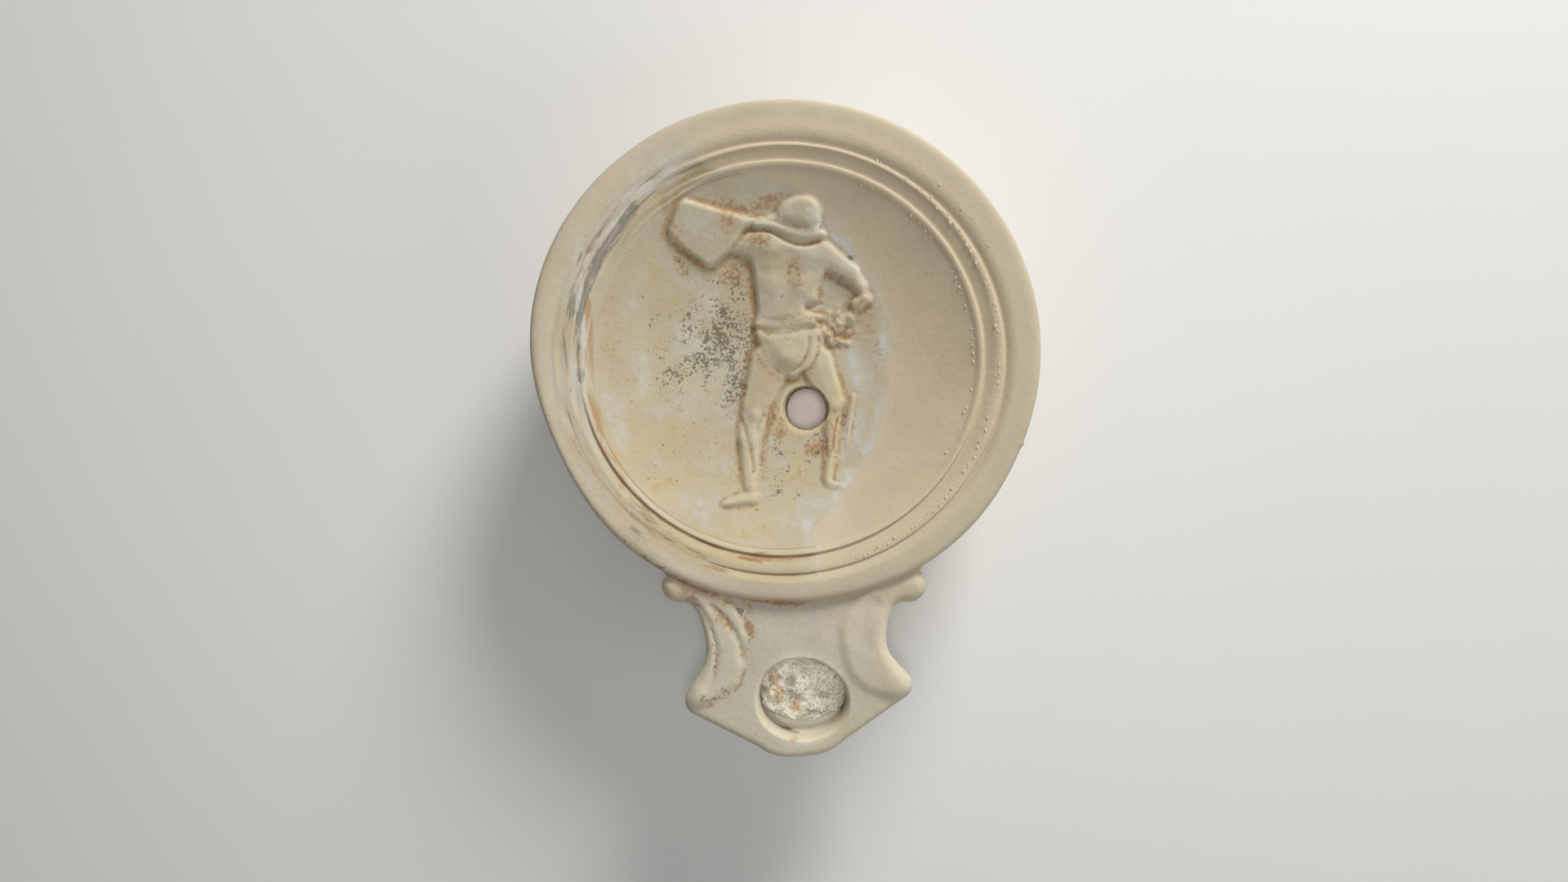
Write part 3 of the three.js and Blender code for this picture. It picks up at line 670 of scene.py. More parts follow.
# Limbs in shares of the figure's height: start, end, radius at each, rise
LIMBS = [
    ((-0.17, 0.85), (-0.08, 0.835), 0.036, 0.05, 0.75), ((0.12, 0.805), (0.2, 0.755), 0.046, 0.036, 0.75),
    ((0.2, 0.755), (0.235, 0.71), 0.036, 0.026, 0.72), ((0.235, 0.71), (0.242, 0.675), 0.026, 0.02, 0.7),
    ((0.25, 0.672), (0.225, 0.655), 0.026, 0.03, 0.8), ((0.222, 0.635), (0.2, 0.612), 0.02, 0.024, 0.5),
    ((0.18, 0.61), (0.16, 0.58), 0.02, 0.026, 0.5), ((0.118, 0.572), (0.14, 0.535), 0.022, 0.018, 0.5),
    ((0.165, 0.538), (0.195, 0.53), 0.017, 0.011, 0.42), ((0.1, 0.615), (0.06, 0.618), 0.016, 0.02, 0.9),
    ((-0.055, 0.47), (-0.1, 0.335), 0.072, 0.054, 0.72),
    ((-0.1, 0.335), (-0.122, 0.22), 0.052, 0.044, 0.7),
    ((-0.122, 0.22), (-0.12, 0.07), 0.043, 0.028, 0.68),
    ((-0.118, 0.035), (-0.2, 0.014), 0.028, 0.013, 0.6), ((0.09, 0.47), (0.145, 0.345), 0.06, 0.044, 0.75),
    ((0.145, 0.345), (0.138, 0.2), 0.038, 0.026, 0.6), ((0.138, 0.2), (0.128, 0.09), 0.025, 0.018, 0.5),
    ((0.13, 0.078), (0.18, 0.07), 0.017, 0.01, 0.28), ((0.213, 0.36), (0.19, 0.2), 0.013, 0.008, 0.32),
]
BRIM = [(-0.1, 0.905), (-0.04, 0.9), (0.01, 0.882), (0.06, 0.872), (0.105, 0.876)]
BELT = [(-0.1, 0.592), (-0.02, 0.588), (0.05, 0.6), (0.085, 0.606)]
# Two lines that are both cut and marked with dirt and painted shadow
UNDER_BRIM = [(-0.13, 0.882), (-0.1, 0.893), (-0.06, 0.888), (-0.025, 0.87), (0.015, 0.85), (0.06, 0.845),
              (0.115, 0.86)]
SHIN = [(-0.155, 0.3), (-0.135, 0.235), (-0.115, 0.15), (-0.108, 0.1)]
# Outlines in the same shares: points, rise in millimetres, crown's share, rounded corners
PLATES = [
    # torso
    ([(-0.12, 0.895), (-0.05, 0.905), (0.06, 0.885), (0.13, 0.86), (0.165, 0.82), (0.16, 0.775),
      (0.13, 0.757), (0.105, 0.715), (0.094, 0.665), (0.06, 0.645), (0.095, 0.615), (0.095, 0.575),
      (-0.1, 0.57), (-0.106, 0.64), (-0.114, 0.72), (-0.128, 0.79), (-0.165, 0.825), (-0.15, 0.87)],
     1.3, 0.45, True),
    # shield
    ([(-0.11, 0.925), (-0.2, 0.953), (-0.33, 0.985), (-0.35, 0.965), (-0.372, 0.92), (-0.388, 0.882),
      (-0.385, 0.864), (-0.37, 0.85), (-0.262, 0.768), (-0.24, 0.77), (-0.178, 0.822)], 1.1, 0.15, False),
    # helmet
    ([(-0.045, 0.92), (-0.04, 0.955), (-0.01, 0.985), (0.04, 1.0), (0.085, 0.99), (0.108, 0.955),
      (0.112, 0.905), (0.1, 0.868), (0.03, 0.868), (-0.03, 0.895)], 1.55, 0.5, True),
    # the shield arm's guard behind the helmet
    ([(-0.2, 0.953), (-0.11, 0.935), (-0.05, 0.945), (0.0, 0.94), (0.0, 0.9), (-0.1, 0.89), (-0.18, 0.89)],
     0.95, 0.2, True),
    # loincloth
    ([(0.1, 0.59), (-0.1, 0.585), (-0.1, 0.52), (-0.075, 0.465), (-0.03, 0.425), (0.01, 0.41),
      (0.045, 0.42), (0.09, 0.465), (0.118, 0.51)], 1.35, 0.55, True),
]
# Muscles and knees: place, half width, half height, swell in millimetres
SWELLS = [
    (0, 0.49, 0.065, 0.055, 0.45), (-0.05, 0.83, 0.05, 0.035, 0.22), (0.07, 0.81, 0.055, 0.04, 0.2),
    (-0.05, 0.72, 0.05, 0.06, 0.16), (0.045, 0.72, 0.045, 0.055, 0.14), (-0.105, 0.3, 0.03, 0.03, 0.3),
    (0.15, 0.33, 0.025, 0.03, 0.25),
]
# Cut lines: points, half width in millimetres, depth in millimetres
CUTS = [
    (UNDER_BRIM, 0.34, 0.55),
    ([(-0.185, 0.825), (-0.15, 0.865), (-0.12, 0.9), (-0.085, 0.925)], 0.35, 0.3),
    ([(-0.03, 0.925), (0.02, 0.905), (0.07, 0.9), (0.11, 0.91)], 0.5, 0.2),
    ([(0.115, 0.662), (0.08, 0.65), (0.05, 0.645)], 0.32, 0.3),
    ([(-0.1, 0.612), (-0.02, 0.608), (0.05, 0.625)], 0.3, 0.12),
    ([(-0.1, 0.568), (-0.02, 0.562), (0.06, 0.578), (0.1, 0.58)], 0.3, 0.18),
    ([(0.102, 0.56), (0.096, 0.5), (0.07, 0.45), (0.025, 0.42)], 0.26, 0.4),
    ([(0.07, 0.56), (0.064, 0.51), (0.045, 0.465), (0.005, 0.435)], 0.26, 0.34),
    (SHIN, 0.34, 0.3),
    ([(-0.1, 0.28), (-0.088, 0.2), (-0.09, 0.12)], 0.4, 0.15),
    ([(0.163, 0.3), (0.152, 0.24), (0.143, 0.17)], 0.26, 0.25),
    ([(0.12, 0.3), (0.122, 0.22), (0.125, 0.15)], 0.26, 0.15),
    ([(0.19, 0.33), (0.178, 0.25), (0.17, 0.2)], 0.24, 0.2),
    ([(0.012, 0.84), (0.012, 0.78), (0, 0.7), (-0.01, 0.63)], 0.9, 0.12),
    ([(-0.1, 0.77), (-0.05, 0.755), (0, 0.77), (0.05, 0.755), (0.1, 0.77)], 0.7, 0.1),
]


def figure_shares(spots):
    return (spots - (FIGURE_X, FIGURE_FOOT_Y)) / FIGURE_HEIGHT


def bevel(depth, width):
    return np.sin(clamp(depth / width) * math.pi / 2)


def figure_relief(spots):
    """How high the gladiator stands at each spot of the discus, in millimetres"""
    shares = figure_shares(spots)
    rise = np.zeros(len(spots))

    def lay(depth, height, crown, edge=1.0):
        nonlocal rise
        shape = height * ((1 - crown) * bevel(depth, edge) + crown * bevel(depth, 3.4))
        shape = np.where(depth > 0, shape, 0)
        meet = np.maximum(SOFT_JOIN - np.abs(rise - shape), 0) / SOFT_JOIN
        blend = meet ** 2 * SOFT_JOIN / 4 * (np.minimum(rise, shape) > 0)
        rise = np.maximum(rise, shape) + blend

    for outline, height, crown, rounded in PLATES:
        edge = 1.0 if rounded else 0.85
        lay(inside_depth(shares, smooth_loop(outline, rounded)) * FIGURE_HEIGHT, height, crown, edge)
    for start, end, first, last, height in LIMBS:
        away, along = distance_to_bar(shares, start, end)
        depth = (first + (last - first) * along - away) * FIGURE_HEIGHT
        lay(depth, height * RELIEF, 0.4, 0.95)
    for line, half, height in [(BRIM, 0.022, 1.6), (BELT, 0.017, 1.3)]:
        away, _ = distance_to_path(shares, smooth_path(line, 0.02))
        lay((half - away) * FIGURE_HEIGHT, height, 0.4, 0.8)
    for across, up, wide, high, swell in SWELLS:
        away = np.hypot((shares[:, 0] - across) / wide, (shares[:, 1] - up) / high)
        rise = rise + swell * ease(away, 1, 0) * (rise > 0)
    for line, width, deep in CUTS:
        away, along = distance_to_path(shares, smooth_path(line, 0.01))
        ends = np.minimum(ease(along, 0.0, 0.12), ease(along, 1.0, 0.88))
        rise = rise - deep * np.exp(-(away * FIGURE_HEIGHT / width) ** 2) * ends
    place_in = np.column_stack([spots, spots[:, 0] * 0])
    hand = ease(np.hypot((shares[:, 0] - 0.16) / 0.1, (shares[:, 1] - 0.59) / 0.09), 1, 0.4)
    rise = rise + 0.5 * hand * np.maximum(uneven(place_in, 0.9, 14), 0)
    rubbed = 1 + 0.12 * uneven(place_in, 5.0, 11)
    return rise * rubbed * 0.87


def smooth_loop(points, rounded):
    if not rounded:
        return even(points + points[:1], 0.02)[:-1]
    count = len(points)
    wrapped = [points[i % count] for i in range(-1, count + 2)]
    path = smooth_path(wrapped, 0.015)
    start = np.argmin(np.linalg.norm(path - points[0], axis=1)[:len(path) // 2])
    after = len(path) // 2
    end = after + np.argmin(np.linalg.norm(path[after:] - points[0], axis=1))
    return path[start:end]


def neighbours(mesh):
    edges = np.empty(len(mesh.edges) * 2, np.int32)
    mesh.edges.foreach_get("vertices", edges)
    return edges.reshape(-1, 2)


def vectors(collection, name):
    flat = np.empty(len(collection) * 3, np.float32)
    collection.foreach_get(name, flat)
    return flat.reshape(-1, 3).astype(float)


def coordinates(mesh):
    return vectors(mesh.vertices, "co") / MM


def set_coordinates(mesh, points):
    mesh.vertices.foreach_set("co", (points * MM).astype(np.float32).ravel())
    mesh.update()


def averaged(values, edges, times):
    """Values drawn towards those next to them along the mesh's edges"""
    count = np.bincount(edges.ravel(), minlength=len(values))[:, None]
    values = values.reshape(len(values), -1)
    for _ in range(times):
        total = np.zeros_like(values)
        for column in range(values.shape[1]):
            total[:, column] = np.bincount(edges[:, 0], values[edges[:, 1], column], len(values))
            total[:, column] += np.bincount(edges[:, 1], values[edges[:, 0], column], len(values))
        values = 0.5 * values + 0.5 * total / np.maximum(count, 1)
    return values


def uneven(spots, scale, seed):
    """Soft unevenness between about -1 and 1"""
    shift = Vector((seed * 17.3, seed * 5.1, seed * 9.7))
    return np.array([noise.noise(Vector(p) / scale + shift) for p in spots])


def carve_discus(mesh):
    points = coordinates(mesh)
    flat = points[:, :2]
    x, y = figure_shares(flat).T
    around = (points[:, 2] > TOP_SIDE) & (np.abs(x) < 0.45) & (y > -0.05) & (y < 1.05)
    around &= np.hypot(flat[:, 0] - DISCUS_X, (flat[:, 1] - DISCUS_Y) / OVAL) < BOWL_RADIUS
    points[around, 2] += figure_relief(flat[around])
    set_coordinates(mesh, points)


def settle_rings(mesh):
    """Moves the outer ring in towards the north, where the hand-made mould was narrower"""
    points = coordinates(mesh)
    reach = np.hypot(points[:, 0], points[:, 1] / OVAL)
    north = points[:, 1] / np.maximum(reach, 1)
    shift = -0.78 - 0.85 * north - 0.08 * (2 * north ** 2 - 1)
    near = ease(reach, 31.0, 33.7) * ease(reach, 38.2, 34.6) * (points[:, 2] > 23)
    points[:, :2] *= (1 + shift * near / np.maximum(reach, 1))[:, None]
    set_coordinates(mesh, points)


def roughen(mesh):
    """Makes the turned body hand-made: the clay's waves, the nick in its edge and its swelling"""
    points = coordinates(mesh)
    waves = 0.07 * (uneven(points, 9.0, 1) - 0.6) + 0.02 * (uneven(points, 2.6, 2) - 0.6)
    normals = vectors(mesh.vertex_normals, "vector")
    above_foot = ease(points[:, 2], 0.2, 1.5)
    points += normals * (np.minimum(waves, 0) * above_foot)[:, None]
    angle = np.degrees(np.arctan2(points[:, 1], points[:, 0]))
    reach = np.hypot(points[:, 0], points[:, 1])
    height = points[:, 2]
    nick = np.exp(-((angle - NICK_ANGLE) / 0.35) ** 2) * ease(height, 20.5, 22.5) * ease(reach, 37.2, 38.2)
    bulge = np.exp(-((angle - BULGE_ANGLE) / 20) ** 2) * ease(height, 16, 21) * ease(reach, 34.5, 38)
    points[:, :2] *= (1 + 0.008 * nick + 0.012 * bulge)[:, None]
    set_coordinates(mesh, points)


def wear_mouldings(mesh):
    """The old rings on the west and south-west, rubbed down"""
    points = coordinates(mesh)
    x, y = points[:, 0] - DISCUS_X * 0.5, (points[:, 1] - DISCUS_Y * 0.5) / OVAL
    reach = np.hypot(x, y)
    angle = np.degrees(np.arctan2(y, x)) % 360
    ring = (points[:, 2] > 23) * ease(reach, 29.2, 29.8) * ease(reach, 37, 35)
    plain = np.interp(reach, [29.4, 30.3, 33.8, 36.2, 37], [24.3, 24.75, 25.45, 25.85, 25.6])
    south_west = ease(angle, 188, 205) * ease(angle, 262, 246) * ease(reach, 32.2, 33.2)
    west = 0.85 * ease(angle, 108, 124) * ease(angle, 203, 192)
    blend = np.maximum(south_west * 0.9, west) * ring
    points[:, 2] += np.minimum(plain - points[:, 2], 0.4) * blend
    drawn = np.column_stack([np.radians(angle) * 33 / 9, reach, reach * 0])
    streaky = ring * west > 0
    points[streaky, 2] += 0.24 * (ring * west)[streaky] * (uneven(drawn[streaky], 0.8, 31) - 0.3)
    set_coordinates(mesh, points)


def soften_join(mesh, first, second, reach, times, beyond=0.0):
    """Wipes the clay smooth where two parts meet, further than a distance from the nozzle's axis"""
    points = coordinates(mesh)
    trees = [surface_of(part) for part in (first, second)]
    aside = np.abs(points[:, 0] - NOZZLE_X)
    weight = np.zeros(len(points))
    for i in np.where((points[:, 1] < -30) & (np.abs(points[:, 0]) < 26) & (aside > beyond))[0]:
        spot = Vector(points[i] * MM)
        far = max(tree.find_nearest(spot)[3] for tree in trees) / MM
        weight[i] = ease(far, reach, reach * 0.3)
    smooth = averaged(points, neighbours(mesh), times)
    set_coordinates(mesh, points + (smooth - points) * weight[:, None])


def surface_of(mesh):
    return BVHTree.FromPolygons([v.co for v in mesh.vertices], [p.vertices for p in mesh.polygons])


def filling_plug():
    top = float(discus_height(*FILLING_HOLE))
    centre = (FILLING_HOLE[0] - 3 * HOLE_LEAN, FILLING_HOLE[1] + 0.2)
    rows = [(-3.2, 3.15, 3.3), (-1.0, 3.25, 3.4), (-0.3, 3.45, 3.5), (0, 3.62, 3.65), (0.3, 3.8, 3.8),
            (3, 4.2, 4.2)]
    wobble = [(2, 0.012, 0.4), (3, 0.012, 1.0), (5, 0.006, 0.3)]
    return hole_mesh(centre, [(top + z, x, y) for z, x, y in rows], wobble, 64, HOLE_LEAN)


def wick_plug():
    bottom = (float(keel_height(WICK_HOLE_OUT)) + WALL + NOZZLE_TOP) / 2 - 0.5
    flares = [(bottom, 0), (20.5, 0), (22.5, 0), (NOZZLE_TOP - 0.7, 0), (NOZZLE_TOP - 0.25, 0.08),
              (NOZZLE_TOP, 0.35), (NOZZLE_TOP + 1.8, 1.2)]
    rows = [(z, 7.0 - 0.13 * (NOZZLE_TOP - z) + flare, 6.1 - 0.12 * (NOZZLE_TOP - z) + flare)
            for z, flare in flares]
    return hole_mesh(WICK_HOLE, rows, [(2, 0.012, 2.2), (3, 0.014, 0.6)], 96)


def lamp_mesh(clay):
    turned = turned_tree()
    body = body_mesh(turned, clay)
    wear_mouldings(body)
    carve_discus(body)
    settle_rings(body)
    roughen(body)
    nozzle = nozzle_mesh()
    outer = combine("outer", [body.copy(), nozzle.copy()], "UNION")
    soften_join(outer, body, nozzle, 0.6, 3)
    soften_join(outer, body, nozzle, 1.6, 16, 13.0)
    cavities = [chamber_mesh(turned, clay), channel_mesh(), filling_plug(), wick_plug()]
    return combine("lamp_clay", [outer, *cavities], "DIFFERENCE")


# The outline of the repaired part, as seen from above
REPAIR_EDGE = [(-14.6, 30), (-12, 27.6), (-8, 27.2), (-3, 26.6), (2, 25), (6.3, 20.5), (10.1, 16.8),
    (13.9, 10.4), (16.4, 4.1), (15.8, -6.1), (14.5, -13.7), (7.6, -23.8), (4.5, -27.4), (4.8, -34),
    (4.8, -38), (4.8, -42.5), (7.6, -44.5), (9.4, -45.6), (12.6, -45.2), (13.2, -49), (14.6, -51.4),
    (17.5, -52.2), (40, -54), (40, 45), (-14.6, 45)]

# Lines along the rings and volutes, in millimetres: points, half width, strength
RING_SOOT = [
    ([(-22.6, 21.6), (-27.6, 14.6), (-30.4, 7.4), (-31.2, 0.5), (-31, -4.5)], 0.9, 1.15),
    ([(-24.6, 22), (-29.6, 14.6), (-32.3, 7.4), (-33.1, 0.5), (-32.6, -4.5)], 0.35, 0.8),
    ([(-10.6, -38.8), (-11.4, -42.5), (-10.5, -46.5), (-10.4, -50.5)], 0.3, 0.72),
    ([(-8.9, -39.5), (-7, -42.6), (-6.3, -45.8), (-6.5, -48.6)], 0.3, 0.66),
    ([(-14.6, -37.4), (-12.9, -39.6), (-11.8, -42)], 0.28, 0.7),
    ([(-12.6, -52.6), (-9.2, -51.2)], 0.35, 0.8), ([(-4.6, -58), (-1.8, -59.5), (0.6, -60.6)], 0.35, 0.75),
]
RING_STAIN = [
    ([(-22.4, 20.4), (-27, 14.4), (-29.4, 7.2), (-30, 0), (-29.5, -6.6), (-28, -11)], 0.5, 0.5),
    ([(-24.6, 22.2), (-29.6, 15.2), (-32.1, 7.6), (-32.8, 0), (-32.2, -7)], 0.35, 0.6),
    ([(-29, -9.7), (-25.4, -17.8), (-19.5, -24.4), (-12.3, -28.9), (-4, -31.3), (4, -31.4)], 0.3, 0.85),
    ([(-31.8, -13), (-27, -20.6), (-20.5, -26.6), (-12, -31.4)], 0.8, 0.72),
    ([(-7.6, -38.8), (-5.4, -42), (-5, -45)], 0.3, 0.7), ([(-6, -37.6), (-2, -38.3), (3, -38.5)], 0.3, 1),
    ([(-15.6, -36.2), (-11, -37.4), (-7.6, -37.2)], 0.4, 0.6),
    ([(4.6, -27), (4.8, -33), (4.7, -40)], 0.3, 0.55),
]

# Dirt and painted shadow along the figure's edges: points in shares, half width in millimetres, strength
EDGE_DIRT_AND_SHADOW = [
    ([(-0.35, 0.985), (-0.395, 0.885), (-0.38, 0.85), (-0.255, 0.762), (-0.235, 0.765)], 0.8, 0.75),
    ([(-0.2, 0.8), (-0.165, 0.81), (-0.135, 0.78), (-0.122, 0.72), (-0.112, 0.64),
     (-0.108, 0.56)], 0.7, 0.8),
    ([(-0.28, 0.975), (-0.2, 0.96), (-0.12, 0.94), (-0.06, 0.94)], 0.8, 0.7),
    (UNDER_BRIM, 0.4, 0.75),
    ([(-0.104, 0.56), (-0.1, 0.5), (-0.085, 0.465), (-0.035, 0.42), (0.01, 0.405), (0.05, 0.42),
     (0.09, 0.46)], 0.55, 0.75),
    ([(-0.12, 0.46), (-0.15, 0.36), (-0.165, 0.27), (-0.165, 0.18), (-0.15, 0.08)], 0.6, 0.6),
    (SHIN, 0.6, 0.65),
    ([(-0.05, 0.36), (-0.06, 0.28), (-0.07, 0.2), (-0.08, 0.1)], 0.8, 0.65),
    ([(-0.2, 0), (-0.1, 0)], 0.5, 0.6), ([(0.135, 0.76), (0.16, 0.75), (0.2, 0.715)], 0.6, 0.8),
    ([(0.105, 0.71), (0.1, 0.66), (0.06, 0.645)], 0.6, 0.7), ([(0.2, 0.34), (0.18, 0.18)], 0.8, 0.5),
    ([(0.12, 0.33), (0.115, 0.2), (0.11, 0.08)], 0.7, 0.6), ([(0.165, 0.3), (0.15, 0.16)], 0.6, 0.7),
    ([(-0.02, 0.4), (-0.03, 0.3), (0, 0.24), (0.07, 0.22), (0.1, 0.25)], 0.7, 0.5),
    ([(0.2, 0.64), (0.24, 0.63), (0.2, 0.55), (0.13, 0.52)], 1.2, 0.65),
    ([(-0.1, 0.6), (0.08, 0.6)], 1.4, 0.35),
]

# Soft patches: x, y, half length, half width, turn in degrees, strength
SOOT = [
    (-9.5, 2.5, 6, 4.2, 62, 0.98), (-13.5, -1.5, 4.5, 3, 30, 0.9), (-7.6, -4, 4.4, 2.4, 80, 1),
    (-17.5, -4.5, 2.4, 3.4, 0, 0.85), (-8.5, 9.5, 3.4, 3.6, 70, 0.75), (-15.8, 13.2, 2.2, 1.6, -50, 0.7),
    (-0.5, -17, 1.6, 6, 6, 0.75), (-1, -22, 1.8, 2, 0, 0.8), (1.6, -22, 1, 1, 0, 0.8),
    (5.5, -14, 2.6, 2.4, 10, 0.7), (8.4, -12, 2, 5, 0, 0.6), (-20.5, -25, 4.5, 1.3, -38, 1),
    (-22.2, -28.6, 3.6, 1.7, -42, 0.85), (-19.4, -31.6, 3, 1.5, -40, 0.85), (11, 4.5, 3, 3.5, 0, 0.55),
    (-31.7, 4, 0.7, 9, 4, 0.85), (-30.4, 14, 0.9, 5, -18, 0.7), (-25.5, 21, 1, 4, -42, 0.6),
    (-8, -48, 1.2, 3, 10, 0.4), (-10.6, -45, 0.6, 7, 6, 0.6), (-7, -43, 0.7, 3.6, 28, 0.6),
    (-10, -52.4, 3, 0.7, 20, 0.85), (-6.6, -39.6, 0.7, 2.4, 25, 0.75), (-13.8, -38.2, 0.7, 2, 40, 0.85),
    (-12, 20.5, 6.5, 5.5, 20, 0.35), (-14.5, 0, 7.5, 10.5, 20, 0.62), (-17, -6, 9, 16, 0, 0.45),
    (2, 4, 7, 9, 0, 0.45), (0, -14, 9, 9, 0, 0.52), (-12.5, -57, 8, 1.2, -30, 0.6),
    (4.2, -47.2, 2.6, 0.6, 0, 0.8), (4.2, -11.7, 0.45, 0.3, 0, 2), (10.3, 14.7, 0.4, 0.3, -20, 2),
    (-29, -20, 5, 10, 30, 0.45), (-5, -46, 8, 9, 0, 0.35), (-4.2, -37.9, 6, 0.8, 0, 0.55),
    (-31.5, -14, 2, 9, 20, 0.35),
]
STAINS = [
    (-9, 20.8, 1.6, 2.2, 20, 0.95), (-7.6, 22.2, 2.6, 1, -15, 0.8), (-2.6, 22.9, 3, 1, 20, 0.95),
    (-4, 17.5, 2.4, 1.4, -25, 0.95), (1.7, 12, 1.5, 3, 10, 0.8), (-8.2, 12.2, 2, 2.6, 10, 0.85),
    (-2, -9.4, 1, 2.6, 0, 0.85), (5.1, -14.9, 2, 1.3, 0, 1.1), (-3.3, -15.6, 0.9, 2.6, 0, 0.7),
    (7.2, -12.8, 1.2, 4.2, -8, 1), (11.8, 7.4, 2.2, 2.6, 40, 0.8), (8.4, 3, 2.6, 1.8, 0, 0.85),
    (5.5, 5.5, 1.4, 1.6, 0, 0.6), (-16.8, 18.5, 1, 3.4, 25, 0.7), (-18, 21.5, 0.7, 3.4, 10, 0.75),
    (-2.6, -31.5, 3.8, 0.55, 0, 1), (-10.4, -33, 2.2, 0.5, -15, 0.95), (-0.8, -38, 4.4, 0.5, 0, 0.95),
    (-11.6, -36.6, 2.4, 0.5, -18, 0.95), (-14.6, -37, 1.8, 0.8, -20, 0.9),
    (-16, -34.5, 1.8, 0.5, -15, 0.85), (-9.3, -40.8, 0.9, 2.4, 38, 0.95), (-5.3, -42, 0.7, 1.8, 20, 1),
    (-8.8, -38, 0.9, 0.8, 0, 0.9), (-5.2, -39, 0.6, 1.4, 15, 0.75), (-5.2, -47, 0.7, 2, 10, 0.6),
    (-28.6, -9.5, 0.7, 3.4, 14, 0.9), (-25.8, -17, 0.7, 4.6, 32, 0.85), (-19.5, -25.5, 5, 0.9, -42, 0.8),
    (-24, -22, 3, 1.2, -55, 0.7), (-29.6, 3.5, 0.6, 8.5, 3, 0.85), (-28.8, 13.5, 0.8, 4, -20, 0.7),
    (1.5, -59.2, 0.6, 0.35, 0, 1), (-26.5, 2, 1.4, 9, 4, 0.45), (-23.5, -6, 1, 7, 8, 0.45),
    (13.6, 2, 1.2, 7, 8, 0.55), (-21.8, 8.5, 0.3, 0.3, 0, 1), (-12, -14, 8, 8, 0, 0.35),
    (-22.5, -31, 3, 2, -40, 0.6), (-1.5, -27.5, 8, 1.2, 0, 0.4), (10.5, 10.5, 3, 1.2, -40, 0.6),
    (-0.4, -11.5, 0.9, 2.6, -12, 0.95), (-5, -31, 2.4, 0.4, 10, 1), (-15.8, 13.2, 1.6, 1, -50, 0.8),
]
CHALK = [
    (-30.5, 7, 1.2, 9, 3, 0.9), (-27.5, 17.5, 1.4, 7, -32, 1), (-20.5, 25.5, 1.6, 7, -52, 1),
    (-31.6, -5, 1.4, 5, 8, 0.7), (11.5, -3, 1.2, 5, 14, 0.9), (11.8, -11, 1, 4.5, -6, 0.9),
    (9.7, -12.2, 0.6, 4.2, -6, 1), (9.2, -19.5, 2.4, 1.2, 45, 0.9), (7, -24.5, 1.8, 2.4, 60, 0.6),
    (4.8, -31.5, 0.8, 4.5, 0, 0.5), (6.5, 21, 3, 1.3, -35, 0.5), (11, 14.5, 1, 3, 30, 0.5),
    (-11.5, -8, 4, 12, 10, 0.25), (0.5, -42.5, 4.5, 5, 0, 0.6), (-4, -50, 4, 5, 0, 0.35),
    (11.3, -46.6, 1.8, 2.2, 0, 0.7), (-9.5, -45.5, 1.6, 6, 8, 0.45), (0, -26.5, 9, 2.6, 0, 0.3),
    (-13, -33.5, 8, 1.4, -18, 0.35), (-3, -55.5, 5, 3.5, -20, 0.3), (19, -51.5, 1.2, 1.4, 0, 0.6),
    (-19, 19.5, 4, 3, 40, 0.2), (1.5, 9, 3.5, 6, 0, 0.2),
]


def patches(flat, rows):
    mask = np.zeros(len(flat))
    for x, y, length, width, turn, strength in rows:
        angle = math.radians(turn)
        dx, dy = flat[:, 0] - x, flat[:, 1] - y
        along = (dx * math.cos(angle) + dy * math.sin(angle)) / length
        across = (-dx * math.sin(angle) + dy * math.cos(angle)) / width
        mask = np.maximum(mask, strength * np.exp(-((along ** 2 + across ** 2) ** 1.6) * 0.45))
    return mask


def strokes(spots, rows, size=1.0):
    """Marks drawn along lines, whose points are in a unit of the given size; width in millimetres"""
    mask = np.zeros(len(spots))
    for points, width, strength in rows:
        away, _ = distance_to_path(spots, smooth_path(points, 0.7 / size))
        mask = np.maximum(mask, strength * np.exp(-(away * size / width) ** 2 * 0.7))
    return mask


def hollow_reach(height):
    """The radius that parts the body's inner wall from its outer one"""
    turn = np.arccos(clamp(1 - (height - FOOT[1]) / (BELLY_HEIGHT - FOOT[1])))
    return FOOT[0] + (BODY_RADIUS - FOOT[0]) * np.sin(turn) - WALL / 2 + 0.1


